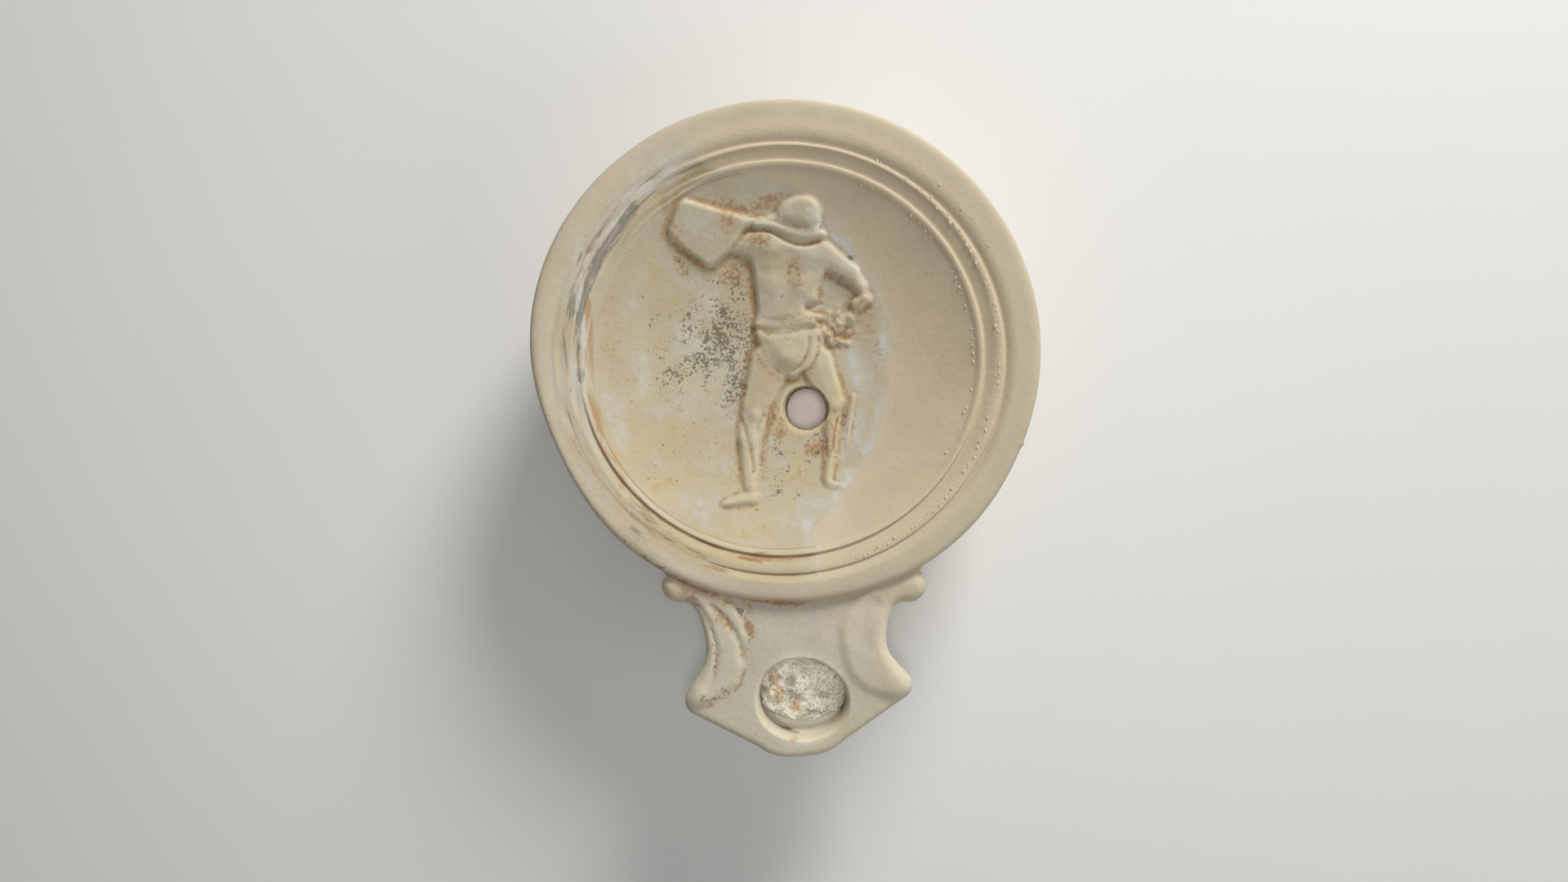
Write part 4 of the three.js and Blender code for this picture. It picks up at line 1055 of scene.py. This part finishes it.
def paint(mesh):
    """Stores at each point how much repair, dirt, soot, staining and chalk there is. The staining takes in
    painted shadow along the figure's edges, and the inside is painted paler as painted light
    """
    points = coordinates(mesh)
    edges = neighbours(mesh)
    flat, height = points[:, :2], points[:, 2]
    normals = vectors(mesh.vertex_normals, "vector")
    fine = averaged(points, edges, 6)
    broad = averaged(fine, edges, 24)
    hollow = np.einsum("ij,ij->i", fine - points, normals) / FINE_HOLLOW
    wide = np.einsum("ij,ij->i", broad - fine, normals) / BROAD_HOLLOW
    outside = (height > TOP_SIDE) & (normals[:, 2] > 0.05)
    middle = np.hypot(flat[:, 0], flat[:, 1])
    reach = np.hypot(flat[:, 0] - DISCUS_X, flat[:, 1] - DISCUS_Y)
    depth = inside_depth(flat, np.array(REPAIR_EDGE))
    ragged = uneven(points, 3.0, 3) * 0.9
    around = np.degrees(np.arctan2(flat[:, 1], flat[:, 0])) % 360
    under = ease(around, 300, 306) + ease(around, 128, 122) * (around < 180)
    repair = np.where(height > 21.5, ease(depth + ragged, -0.5, 0.5), clamp(under))
    on_discus = (height > TOP_SIDE) & (reach < BOWL_RADIUS)
    repair = np.where(on_discus, ease(depth + ragged * 0.6, -0.5, 0.5), repair)
    join = np.exp(-((depth + ragged * 0.5 + 0.8) / 1.3) ** 2) * ease(reach, BOWL_RADIUS, BOWL_RADIUS - 1)
    join *= (0.25 + 0.75 * ease(uneven(points, 5.0, 21), -0.7, 0.2)) * (flat[:, 1] < 22)
    in_hole = (np.hypot(*(flat - FILLING_HOLE).T) < 4) & (height > 14) & (np.abs(normals[:, 2]) < 0.8)
    in_wick = np.hypot(*((flat - WICK_HOLE) / WICK_HOLE_REACH).T) < 1
    new_volute = ease(flat[:, 0], 4, 7) * (flat[:, 1] < -40)
    dirty = clamp(hollow * 0.7 + wide * 0.9) * (1 - 0.8 * new_volute)
    # Dirt with painted shadow along the figure's edges, put in with the stains
    figure_dirt_and_shadow = strokes(figure_shares(flat), EDGE_DIRT_AND_SHADOW, FIGURE_HEIGHT)
    stain_and_shadow_marks = np.maximum.reduce([patches(flat, STAINS), strokes(flat, RING_STAIN), figure_dirt_and_shadow])
    marks = {
        "repair": repair,
        "hollow": dirty * (height > TOP_SIDE) * ~in_wick,
        # The chamber's inside, which is painted paler as painted light for its floor seen through the holes
        "inside": (height < 19) & (middle < hollow_reach(height)) & ~in_hole,
        "crest": clamp(-hollow * 0.6 - wide * 0.5),
        "soot": np.maximum(patches(flat, SOOT), strokes(flat, RING_SOOT)) * outside,
        # Stains, together with the painted shadow along the figure's edges
        "stain_and_shadow": np.maximum(stain_and_shadow_marks * outside, in_hole * 0.85),
        "chalk": np.maximum(patches(flat, CHALK), join) * outside,
        "streak": ease(reach, 28.0, 29.5) * ease(reach, 36.0, 34.8) * (height > 22),
    }
    for name, mark in marks.items():
        layer = mesh.attributes.new(name, "FLOAT", "POINT")
        layer.data.foreach_set("value", mark.astype(np.float32))


def srgb(r, g, b):
    linear = [((v / 255 + 0.055) / 1.055) ** 2.4 for v in (r, g, b)]
    return (*linear, 1.0)


def mottle(tree, place_of, scale, detail=4.0, rough=0.6, twist=0.0):
    inputs = {"Vector": place_of, "Scale": scale, "Detail": detail, "Roughness": rough, "Distortion": twist}
    return place(tree, "ShaderNodeTexNoise", inputs)["Fac"]


def split(tree, vector):
    parts = place(tree, "ShaderNodeSeparateXYZ", {0: vector})
    return parts[0], parts[1], parts[2]


def clay_grain_group():
    """The clay's grain with small pits, as a height and as a tone"""
    tree, given, end = new_tree("clay_grain", "Shader", {"Place": "Vector", "Grain Size": 900.0, "Pits": 0.5},
                                {"Height": "Float", "Tone": "Float"})
    where, size = given["Place"], given["Grain Size"]
    grain = mottle(tree, where, size, 5.0, 0.65)
    broad = mottle(tree, where, size * 0.16)
    pit = mottle(tree, where, size * 1.7, 2.0, 0.5).between(0.36, 0.28)
    feed(end["Height"], broad * 0.8 + grain - pit * given["Pits"])
    feed(end["Tone"], grain * 0.45 + broad * 0.55)
    return tree


def broken_patch_group():
    """Breaks a soft mask up into flecks and ragged smears"""
    tree, given, end = new_tree("broken_patch", "Shader", {
        "Place": "Vector", "Mask": 0.0, "Fleck Size": 1500.0, "Sharpness": 0.06, "Cover": 0.2,
        "Clustering": 0.4,
    }, {"Mask": "Float"})
    fleck = mottle(tree, given["Place"], given["Fleck Size"], 3.0, 0.7)
    drift = mottle(tree, given["Place"], given["Fleck Size"] * 0.22, 3.0)
    texture = fleck + (drift - fleck) * given["Clustering"]
    limit = 0.69 - given["Mask"] * given["Cover"]
    over = (texture - limit).share_of(given["Sharpness"])
    feed(end["Mask"], over * given["Mask"].between(0.03, 0.12))
    return tree


def ring_streaks_group():
    """Coordinates drawn out along the rings, so that smears run round them"""
    tree, given, end = new_tree("ring_streaks", "Shader", {"Place": "Vector", "Share": 0.0, "Stretch": 7.0},
                                {"Place": "Vector", "Reach": "Float"})
    x, y, z = split(tree, given["Place"])
    reach = (x * x + y * y).sum("SQRT")
    along = y.sum("ARCTAN2", x * -1) * 0.033 / given["Stretch"]
    turned = place(tree, "ShaderNodeCombineXYZ", {0: along, 1: reach, 2: z})[0]
    both = place(tree, "ShaderNodeMix", {0: given["Share"], 4: given["Place"], 5: turned}, data_type="VECTOR")
    feed(end["Place"], both[1])
    feed(end["Reach"], reach)
    return tree


def painted(tree, name):
    """A mark that was stored on the mesh"""
    return place(tree, "ShaderNodeAttribute", attribute_name=name)["Fac"]


def new_material(name):
    """A material with its tree, its shader's inputs and its place on the object"""
    material = bpy.data.materials.new(name)
    material.use_nodes = True
    tree = material.node_tree
    return material, tree, tree.nodes["Principled BSDF"].inputs, place(tree, "ShaderNodeTexCoord")["Object"]


def group(tree, node_tree, **inputs):
    sockets = {name.replace("_", " "): value for name, value in inputs.items()}
    return place(tree, "ShaderNodeGroup", sockets, node_tree=node_tree)


def bump(tree, height, strength, distance):
    return place(tree, "ShaderNodeBump", {"Height": height, "Strength": strength, "Distance": distance})[0]


def fired_clay(grain, patch, streaks):
    material, tree, skin, where = new_material("fired_clay")
    repair, chalk, stain_and_shadow = painted(tree, "repair"), painted(tree, "chalk"), painted(tree, "stain_and_shadow")
    streak = painted(tree, "streak")
    grainy = group(tree, grain, Place=where, Grain_Size=1100.0, Pits=0.5)
    streaky = group(tree, streaks, Place=where, Share=streak)
    drawn, reach = streaky["Place"], streaky["Reach"]
    north = split(tree, where)[1]
    bare = 1 - repair
    cloud = mottle(tree, where, 70.0, 4.0, 0.6, 0.4)
    smear = mottle(tree, drawn, 190.0, 4.0, 0.65, 0.2)
    # The old clay, yellower towards the nozzle, pinker on the shoulder, paler on the nozzle
    old = cloud.between(0.35, 0.65).mix(srgb(183, 170, 143), srgb(191, 183, 161))
    old = (north.between(0.006, -0.022) * smear.between(0.62, 0.38) * 0.55).mix(old, srgb(197, 181, 137))
    old = smear.between(0.48, 0.78).mix(old, srgb(199, 196, 186))
    old = smear.between(0.42, 0.3).mix(old, srgb(188, 170, 132))
    shoulder = smear.between(0.3, 0.7).mix(srgb(195, 180, 154), srgb(197, 182, 169))
    old = reach.between(0.0345, 0.0365).mix(old, shoulder)
    nozzle = smear.between(0.35, 0.65).mix(srgb(198, 188, 166), srgb(196, 192, 176))
    old = north.between(-0.0385, -0.0395).mix(old, nozzle)
    # The made-up clay of the repair
    even_cloud = cloud.between(0.3, 0.7)
    new = even_cloud.mix(srgb(196, 180, 154), srgb(203, 188, 160))
    new = reach.between(0.0335, 0.036).mix(new, even_cloud.mix(srgb(185, 172, 149), srgb(192, 180, 157)))
    nozzle = even_cloud.mix(srgb(199, 188, 167), srgb(204, 194, 174))
    new = north.between(-0.0375, -0.0395).mix(new, nozzle)
    colour = repair.mix(old, new)
    chalky = group(tree, patch, Place=drawn, Mask=chalk, Fleck_Size=streak * 900 + 520, Sharpness=0.12,
                   Cover=0.26)
    colour = (chalky["Mask"] * 0.5 + chalk * 0.32).mix(colour, srgb(206, 208, 206))
    lodged = group(tree, patch, Place=drawn, Mask=painted(tree, "hollow"), Fleck_Size=500.0, Sharpness=0.2,
                   Cover=0.3)
    colour = (lodged["Mask"] * (bare * 0.76 + 0.06)).mix(colour, srgb(150, 118, 78))
    # Stains and rust flecks; the same mark also carries the painted shadow along the figure's edges
    colour = (stain_and_shadow.sum("POWER", 1.5) * 0.42 * bare).mix(colour, srgb(184, 152, 110))
    stain_and_shadow_marks = group(tree, patch, Place=drawn, Mask=stain_and_shadow, Fleck_Size=1500.0, Sharpness=0.1, Cover=0.29,
                    Clustering=0.2)
    rust = smear.between(0.4, 0.6).mix(srgb(142, 104, 66), srgb(168, 124, 80))
    colour = (stain_and_shadow_marks["Mask"] * 0.75).mix(colour, rust)
    sooty = group(tree, patch, Place=drawn, Mask=painted(tree, "soot"), Fleck_Size=2100.0, Sharpness=0.05,
                  Cover=0.225, Clustering=0.36)
    colour = (sooty["Mask"] * 0.82).mix(colour, streak.mix(srgb(92, 83, 71), srgb(124, 123, 118)))
    # Painted light: the chamber's inside is painted pale so that its floor, seen through the holes, looks lit
    colour = painted(tree, "inside").mix(colour, srgb(240, 224, 214))
    colour = (painted(tree, "crest") * 0.35).mix(colour, srgb(214, 204, 172))
    colour = (grainy["Tone"].between(0.3, 0.7) * (bare * 0.14 + 0.1)).mix(colour, srgb(168, 152, 120))
    feed(skin["Base Color"], colour)
    feed(skin["Roughness"], grainy["Tone"] * 0.1 + 0.8)
    feed(skin["Specular IOR Level"], 0.25)
    feed(skin["Normal"], bump(tree, grainy["Height"], 0.35, 0.00022))
    return material


# Where the crust is rusty: x, y, reach
RUSTY_SPOTS = [(-1.7, -50.2, 2.4), (-0.6, -52.6, 2.2), (1.4, -54.2, 2.4), (-3.4, -52.4, 2.6)]


def burnt_crust(grain, patch):
    material, tree, skin, where = new_material("burnt_crust")
    grainy = group(tree, grain, Place=where, Grain_Size=1600.0, Pits=1.2)
    pale = mottle(tree, where, 260.0, 4.0, 0.6, 0.3)
    colour = pale.between(0.4, 0.6).mix(srgb(220, 213, 194), srgb(243, 238, 224))
    # Painted shade: the crust is darker in the low places of its lumps, using the same noise that gives their
    # height
    pits = mottle(tree, where, LUMP_SIZE, 4.0, 0.5)
    colour = (pits.between(0.5, 0.36) * 0.5).mix(colour, srgb(140, 132, 112))
    x, y, _ = split(tree, where)
    burnt = x.between(0.002, 0.009).sum("ADD", y.between(-0.049, -0.046), bounded=True)
    sooty = group(tree, patch, Place=where, Mask=burnt * 0.3 + 0.6, Fleck_Size=2200.0, Sharpness=0.06,
                  Cover=0.19, Clustering=0.2)
    colour = (sooty["Mask"] * 0.5).mix(colour, srgb(112, 106, 92))
    near = x * 0
    for spot_x, spot_y, reach in RUSTY_SPOTS:
        spot = (spot_x * MM, spot_y * MM, CRUST_TOP * MM)
        away = place(tree, "ShaderNodeVectorMath", {0: where, 1: spot}, operation="DISTANCE")["Value"]
        near = near.sum("MAXIMUM", away.between(reach * MM, 0.0))
    rusty = mottle(tree, where, 640.0, 5.0, 0.7, 0.3)
    colour = ((near * 0.3 + rusty).between(0.6, 0.7) * 0.68).mix(colour, srgb(190, 148, 102))
    feed(skin["Base Color"], colour)
    feed(skin["Roughness"], 0.95)
    feed(skin["Specular IOR Level"], 0.2)
    feed(skin["Normal"], bump(tree, grainy["Height"], 1.0, 0.0007))
    return material


def floor_material():
    material, tree, skin, where = new_material("pale_floor")
    feed(skin["Base Color"], mottle(tree, where, 20.0).mix(srgb(228, 227, 224), srgb(232, 231, 228)))
    feed(skin["Roughness"], 0.9)
    return material


def random_sizes(tree, seed, least, most):
    return place(tree, "FunctionNodeRandomValue", {2: least, 3: most, "Seed": seed}, data_type="FLOAT")[1]


def ball(tree, radius):
    return place(tree, "GeometryNodeMeshIcoSphere", {"Radius": radius, "Subdivisions": 2})["Mesh"]


def beads_tree():
    """Small flat lumps of clay left along a line"""
    tree, given, end = shape_tree("ring_beads", Spacing="Float", Bead_Radius="Float", Straying="Float",
                                  Flatness="Float", Seed="Int", Material="Material")
    line = place(tree, "GeometryNodeMeshToCurve", {"Mesh": given["Geometry"]})[0]
    spaced = {"Curve": line, "Length": given["Spacing"]}
    stops = place(tree, "GeometryNodeResampleCurve", spaced, mode="LENGTH")[0]
    points = place(tree, "GeometryNodeCurveToPoints", {"Curve": stops}, mode="EVALUATED")["Points"]
    corners = {0: (-1.0, -1.0, 0.0), 1: (1.0, 1.0, 0.0), "Seed": given["Seed"]}
    stray = place(tree, "FunctionNodeRandomValue", corners, data_type="FLOAT_VECTOR")[0]
    away = place(tree, "ShaderNodeVectorMath", {0: stray, "Scale": given["Straying"]}, operation="SCALE")[0]
    strayed = place(tree, "GeometryNodeSetPosition", {"Geometry": points, "Offset": away})[0]
    size = random_sizes(tree, given["Seed"], 0.35, 1.3)
    sizes = {0: size, 1: size * 1.4, 2: size * given["Flatness"]}
    scale = place(tree, "ShaderNodeCombineXYZ", sizes)[0]
    bead = ball(tree, given["Bead Radius"])
    each = {"Points": strayed, "Instance": bead, "Scale": scale}
    finish_tree(tree, place(tree, "GeometryNodeInstanceOnPoints", each)[0], given["Material"], end)
    return tree


# Where beads of clay were left on the repaired side: radius, start and end in degrees clockwise
# from the north, spacing, bead radius
BEAD_LINES = [
    (32.45, 22, 160, 0.9, 0.21), (28.9, 22, 136, 1.3, 0.2), (34.9, 30, 62, 2.4, 0.22),
    (35.2, 130, 158, 2.2, 0.22),
]


def add_beads(mesh, material):
    """The lamp's mesh with beads set on its surface along the rings"""
    surface = surface_of(mesh)
    tree = beads_tree()
    whole = bmesh.new()
    whole.from_mesh(mesh)
    for number, (radius, start, end, spacing, size) in enumerate(BEAD_LINES):
        points = []
        for angle in np.radians(np.linspace(start, end, 90)):
            x, y = radius * math.sin(angle), radius * math.cos(angle) + BEADS_Y
            hit = surface.ray_cast(Vector((x, y, 40)) * MM, Vector((0, 0, -1)))[0]
            points.append((x, y, min(hit.z / MM, BEADS_BELOW)))
        whole.from_mesh(grow("beads", path_mesh(points), tree, {
            "Spacing": spacing * MM, "Bead Radius": size * MM, "Straying": BEAD_STRAYING * MM,
            "Flatness": BEAD_FLATNESS, "Seed": number + 3, "Material": material,
        }))
    whole.to_mesh(mesh)
    whole.free()
    mesh.update()


def crust_tree():
    """A lumpy cake with loose grains on it"""
    tree, given, end = shape_tree("burnt_cake", Lump_Size="Float", Lump_Height="Float", Grain_Radius="Float",
                                  Grain_Density="Float", Seed="Int", Material="Material")
    place_of = place(tree, "GeometryNodeInputPosition")[0]
    texture = {"Vector": place_of, "Scale": given["Lump Size"], "Detail": 4.0}
    lumps = place(tree, "ShaderNodeTexNoise", texture)["Fac"]
    lift = (lumps - 0.6) * given["Lump Height"]
    offset = place(tree, "ShaderNodeCombineXYZ", {2: lift})[0]
    cake = place(tree, "GeometryNodeSetPosition", {"Geometry": given["Geometry"], "Offset": offset})[0]
    up = split(tree, place(tree, "GeometryNodeInputNormal")[0])[2]
    spread = place(tree, "GeometryNodeDistributePointsOnFaces", {
        "Mesh": cake, "Selection": up.sum("GREATER_THAN", 0.4), "Density": given["Grain Density"],
        "Seed": given["Seed"],
    })["Points"]
    grain = ball(tree, given["Grain Radius"])
    size = random_sizes(tree, given["Seed"], 0.5, 1.5)
    each = {"Points": spread, "Instance": grain, "Scale": size}
    grains = place(tree, "GeometryNodeInstanceOnPoints", each)[0]
    joined = place(tree, "GeometryNodeJoinGeometry", {0: grains})[0]
    feed(joined.socket.node.inputs[0], cake)
    finish_tree(tree, joined, given["Material"], end)
    return tree


def crust_mesh(material):
    """A burnt cake that fills the wick hole but for a gap at its southern side"""
    bottom = float(keel_height(WICK_HOLE_OUT)) + WALL - 0.8
    rings, count = 30, 80
    middle = (WICK_HOLE[0] + 0.1, WICK_HOLE[1] + CRUST_SHIFT)
    points, faces = [(*middle, CRUST_TOP)], []
    for ring in range(1, rings + 1):
        share = ring / rings
        z = CRUST_TOP - CRUST_DOME * share ** 2 - CRUST_EDGE_DROP * max(0.0, (share - 0.86) / 0.14) ** 2
        for i in range(count):
            angle = 2 * math.pi * i / count
            points.append((middle[0] + CRUST_RADII[0] * share * math.cos(angle),
                           middle[1] + CRUST_RADII[1] * share * math.sin(angle), z))
    points.append((*middle, bottom))
    last = len(points) - 1
    for i in range(count):
        j = (i + 1) % count
        faces.append((0, 1 + i, 1 + j))
        for a in range(1, last - count, count):
            faces.append((a + i, a + count + i, a + count + j, a + j))
        faces.append((last - count + j, last - count + i, last))
    return grow("crust", closed_mesh(points, faces), crust_tree(), {
        "Lump Size": LUMP_SIZE, "Lump Height": LUMP_HEIGHT * MM, "Grain Radius": GRAIN_RADIUS * MM,
        "Grain Density": GRAIN_DENSITY, "Seed": 7, "Material": material,
    })


def hang(thing, at, aim):
    """Sets a light in the scene, turned towards a point"""
    holder = bpy.data.objects.new(thing.name, thing)
    bpy.context.collection.objects.link(holder)
    holder.location = at
    holder.rotation_euler = (Vector(aim) - Vector(at)).to_track_quat("-Z", "Y").to_euler()


def add_area(name, at, aim, size, power, colour):
    light = bpy.data.lights.new(name, "AREA")
    light.shape = "DISK"
    light.size = size
    light.energy = power
    light.color = colour
    hang(light, at, aim)


def add_snoot(name, aim, angle, power):
    """A narrow soft-edged spot that looks down a hole from beside the camera"""
    light = bpy.data.lights.new(name, "SPOT")
    light.energy = power
    light.spot_size = math.radians(angle)
    light.spot_blend = 0.2
    light.shadow_soft_size = 0.0015
    hang(light, (0.0, CAMERA_AT[1], 0.19), aim)


def add_camera():
    camera = bpy.data.cameras.new("camera")
    camera.sensor_width = SENSOR
    camera.lens = FOCAL_PIXELS / IMAGE_WIDTH * SENSOR
    camera.clip_start = 0.01
    holder = bpy.data.objects.new("camera", camera)
    bpy.context.collection.objects.link(holder)
    holder.location = CAMERA_AT
    bpy.context.scene.camera = holder


def studio():
    half = 900
    corners = [(-half, -half, 0), (half, -half, 0), (half, half, 0), (-half, half, 0)]
    sheet = put("floor", make_mesh("floor", corners, [(0, 1, 2, 3)]))
    sheet.data.materials.append(floor_material())
    add_area("key", (0.213, 0.482, 0.28), (0, 0, 0.02), 0.25, 3.65, (1.0, 0.985, 0.96))
    add_area("ring", (0.0, CAMERA_AT[1], 0.27), (0, CAMERA_AT[1], 0.0), 0.05, 0.15, (1.0, 0.99, 0.97))
    add_area("fill", (0.43, -0.33, 0.28), (0, 0, 0.02), 0.5, 0.9, (0.98, 0.99, 1.0))
    add_snoot("filling_light", (FILLING_HOLE[0] * MM, FILLING_HOLE[1] * MM, 0.02), 2.35, 0.5)
    add_snoot("wick_light", (WICK_HOLE[0] * MM, WICK_HOLE[1] * MM, 0.0235), 4.4, 0.56)
    world = bpy.data.worlds.new("studio")
    world.use_nodes = True
    background = world.node_tree.nodes["Background"].inputs
    background["Color"].default_value = (0.95, 0.97, 1.0, 1.0)
    background["Strength"].default_value = 0.14
    bpy.context.scene.world = world
    bpy.context.scene.view_settings.view_transform = "Standard"
    add_camera()


def dress(name, mesh, material):
    """Puts a finished mesh in the scene in place of the plain lamp"""
    mesh.materials.clear()
    mesh.materials.append(material)
    mesh.polygons.foreach_set("use_smooth", [True] * len(mesh.polygons))
    mesh.polygons.foreach_set("material_index", [0] * len(mesh.polygons))
    piece = put(name, mesh)
    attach(piece, "root")
    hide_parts("lamp")


grain_group = clay_grain_group()
patch_group = broken_patch_group()
clay_material = fired_clay(grain_group, patch_group, ring_streaks_group())
crust_material = burnt_crust(grain_group, patch_group)
lamp = lamp_mesh(clay_material)
add_beads(lamp, clay_material)
paint(lamp)
dress("lamp_clay", lamp, clay_material)
dress("wick_crust", crust_mesh(crust_material), crust_material)
studio()
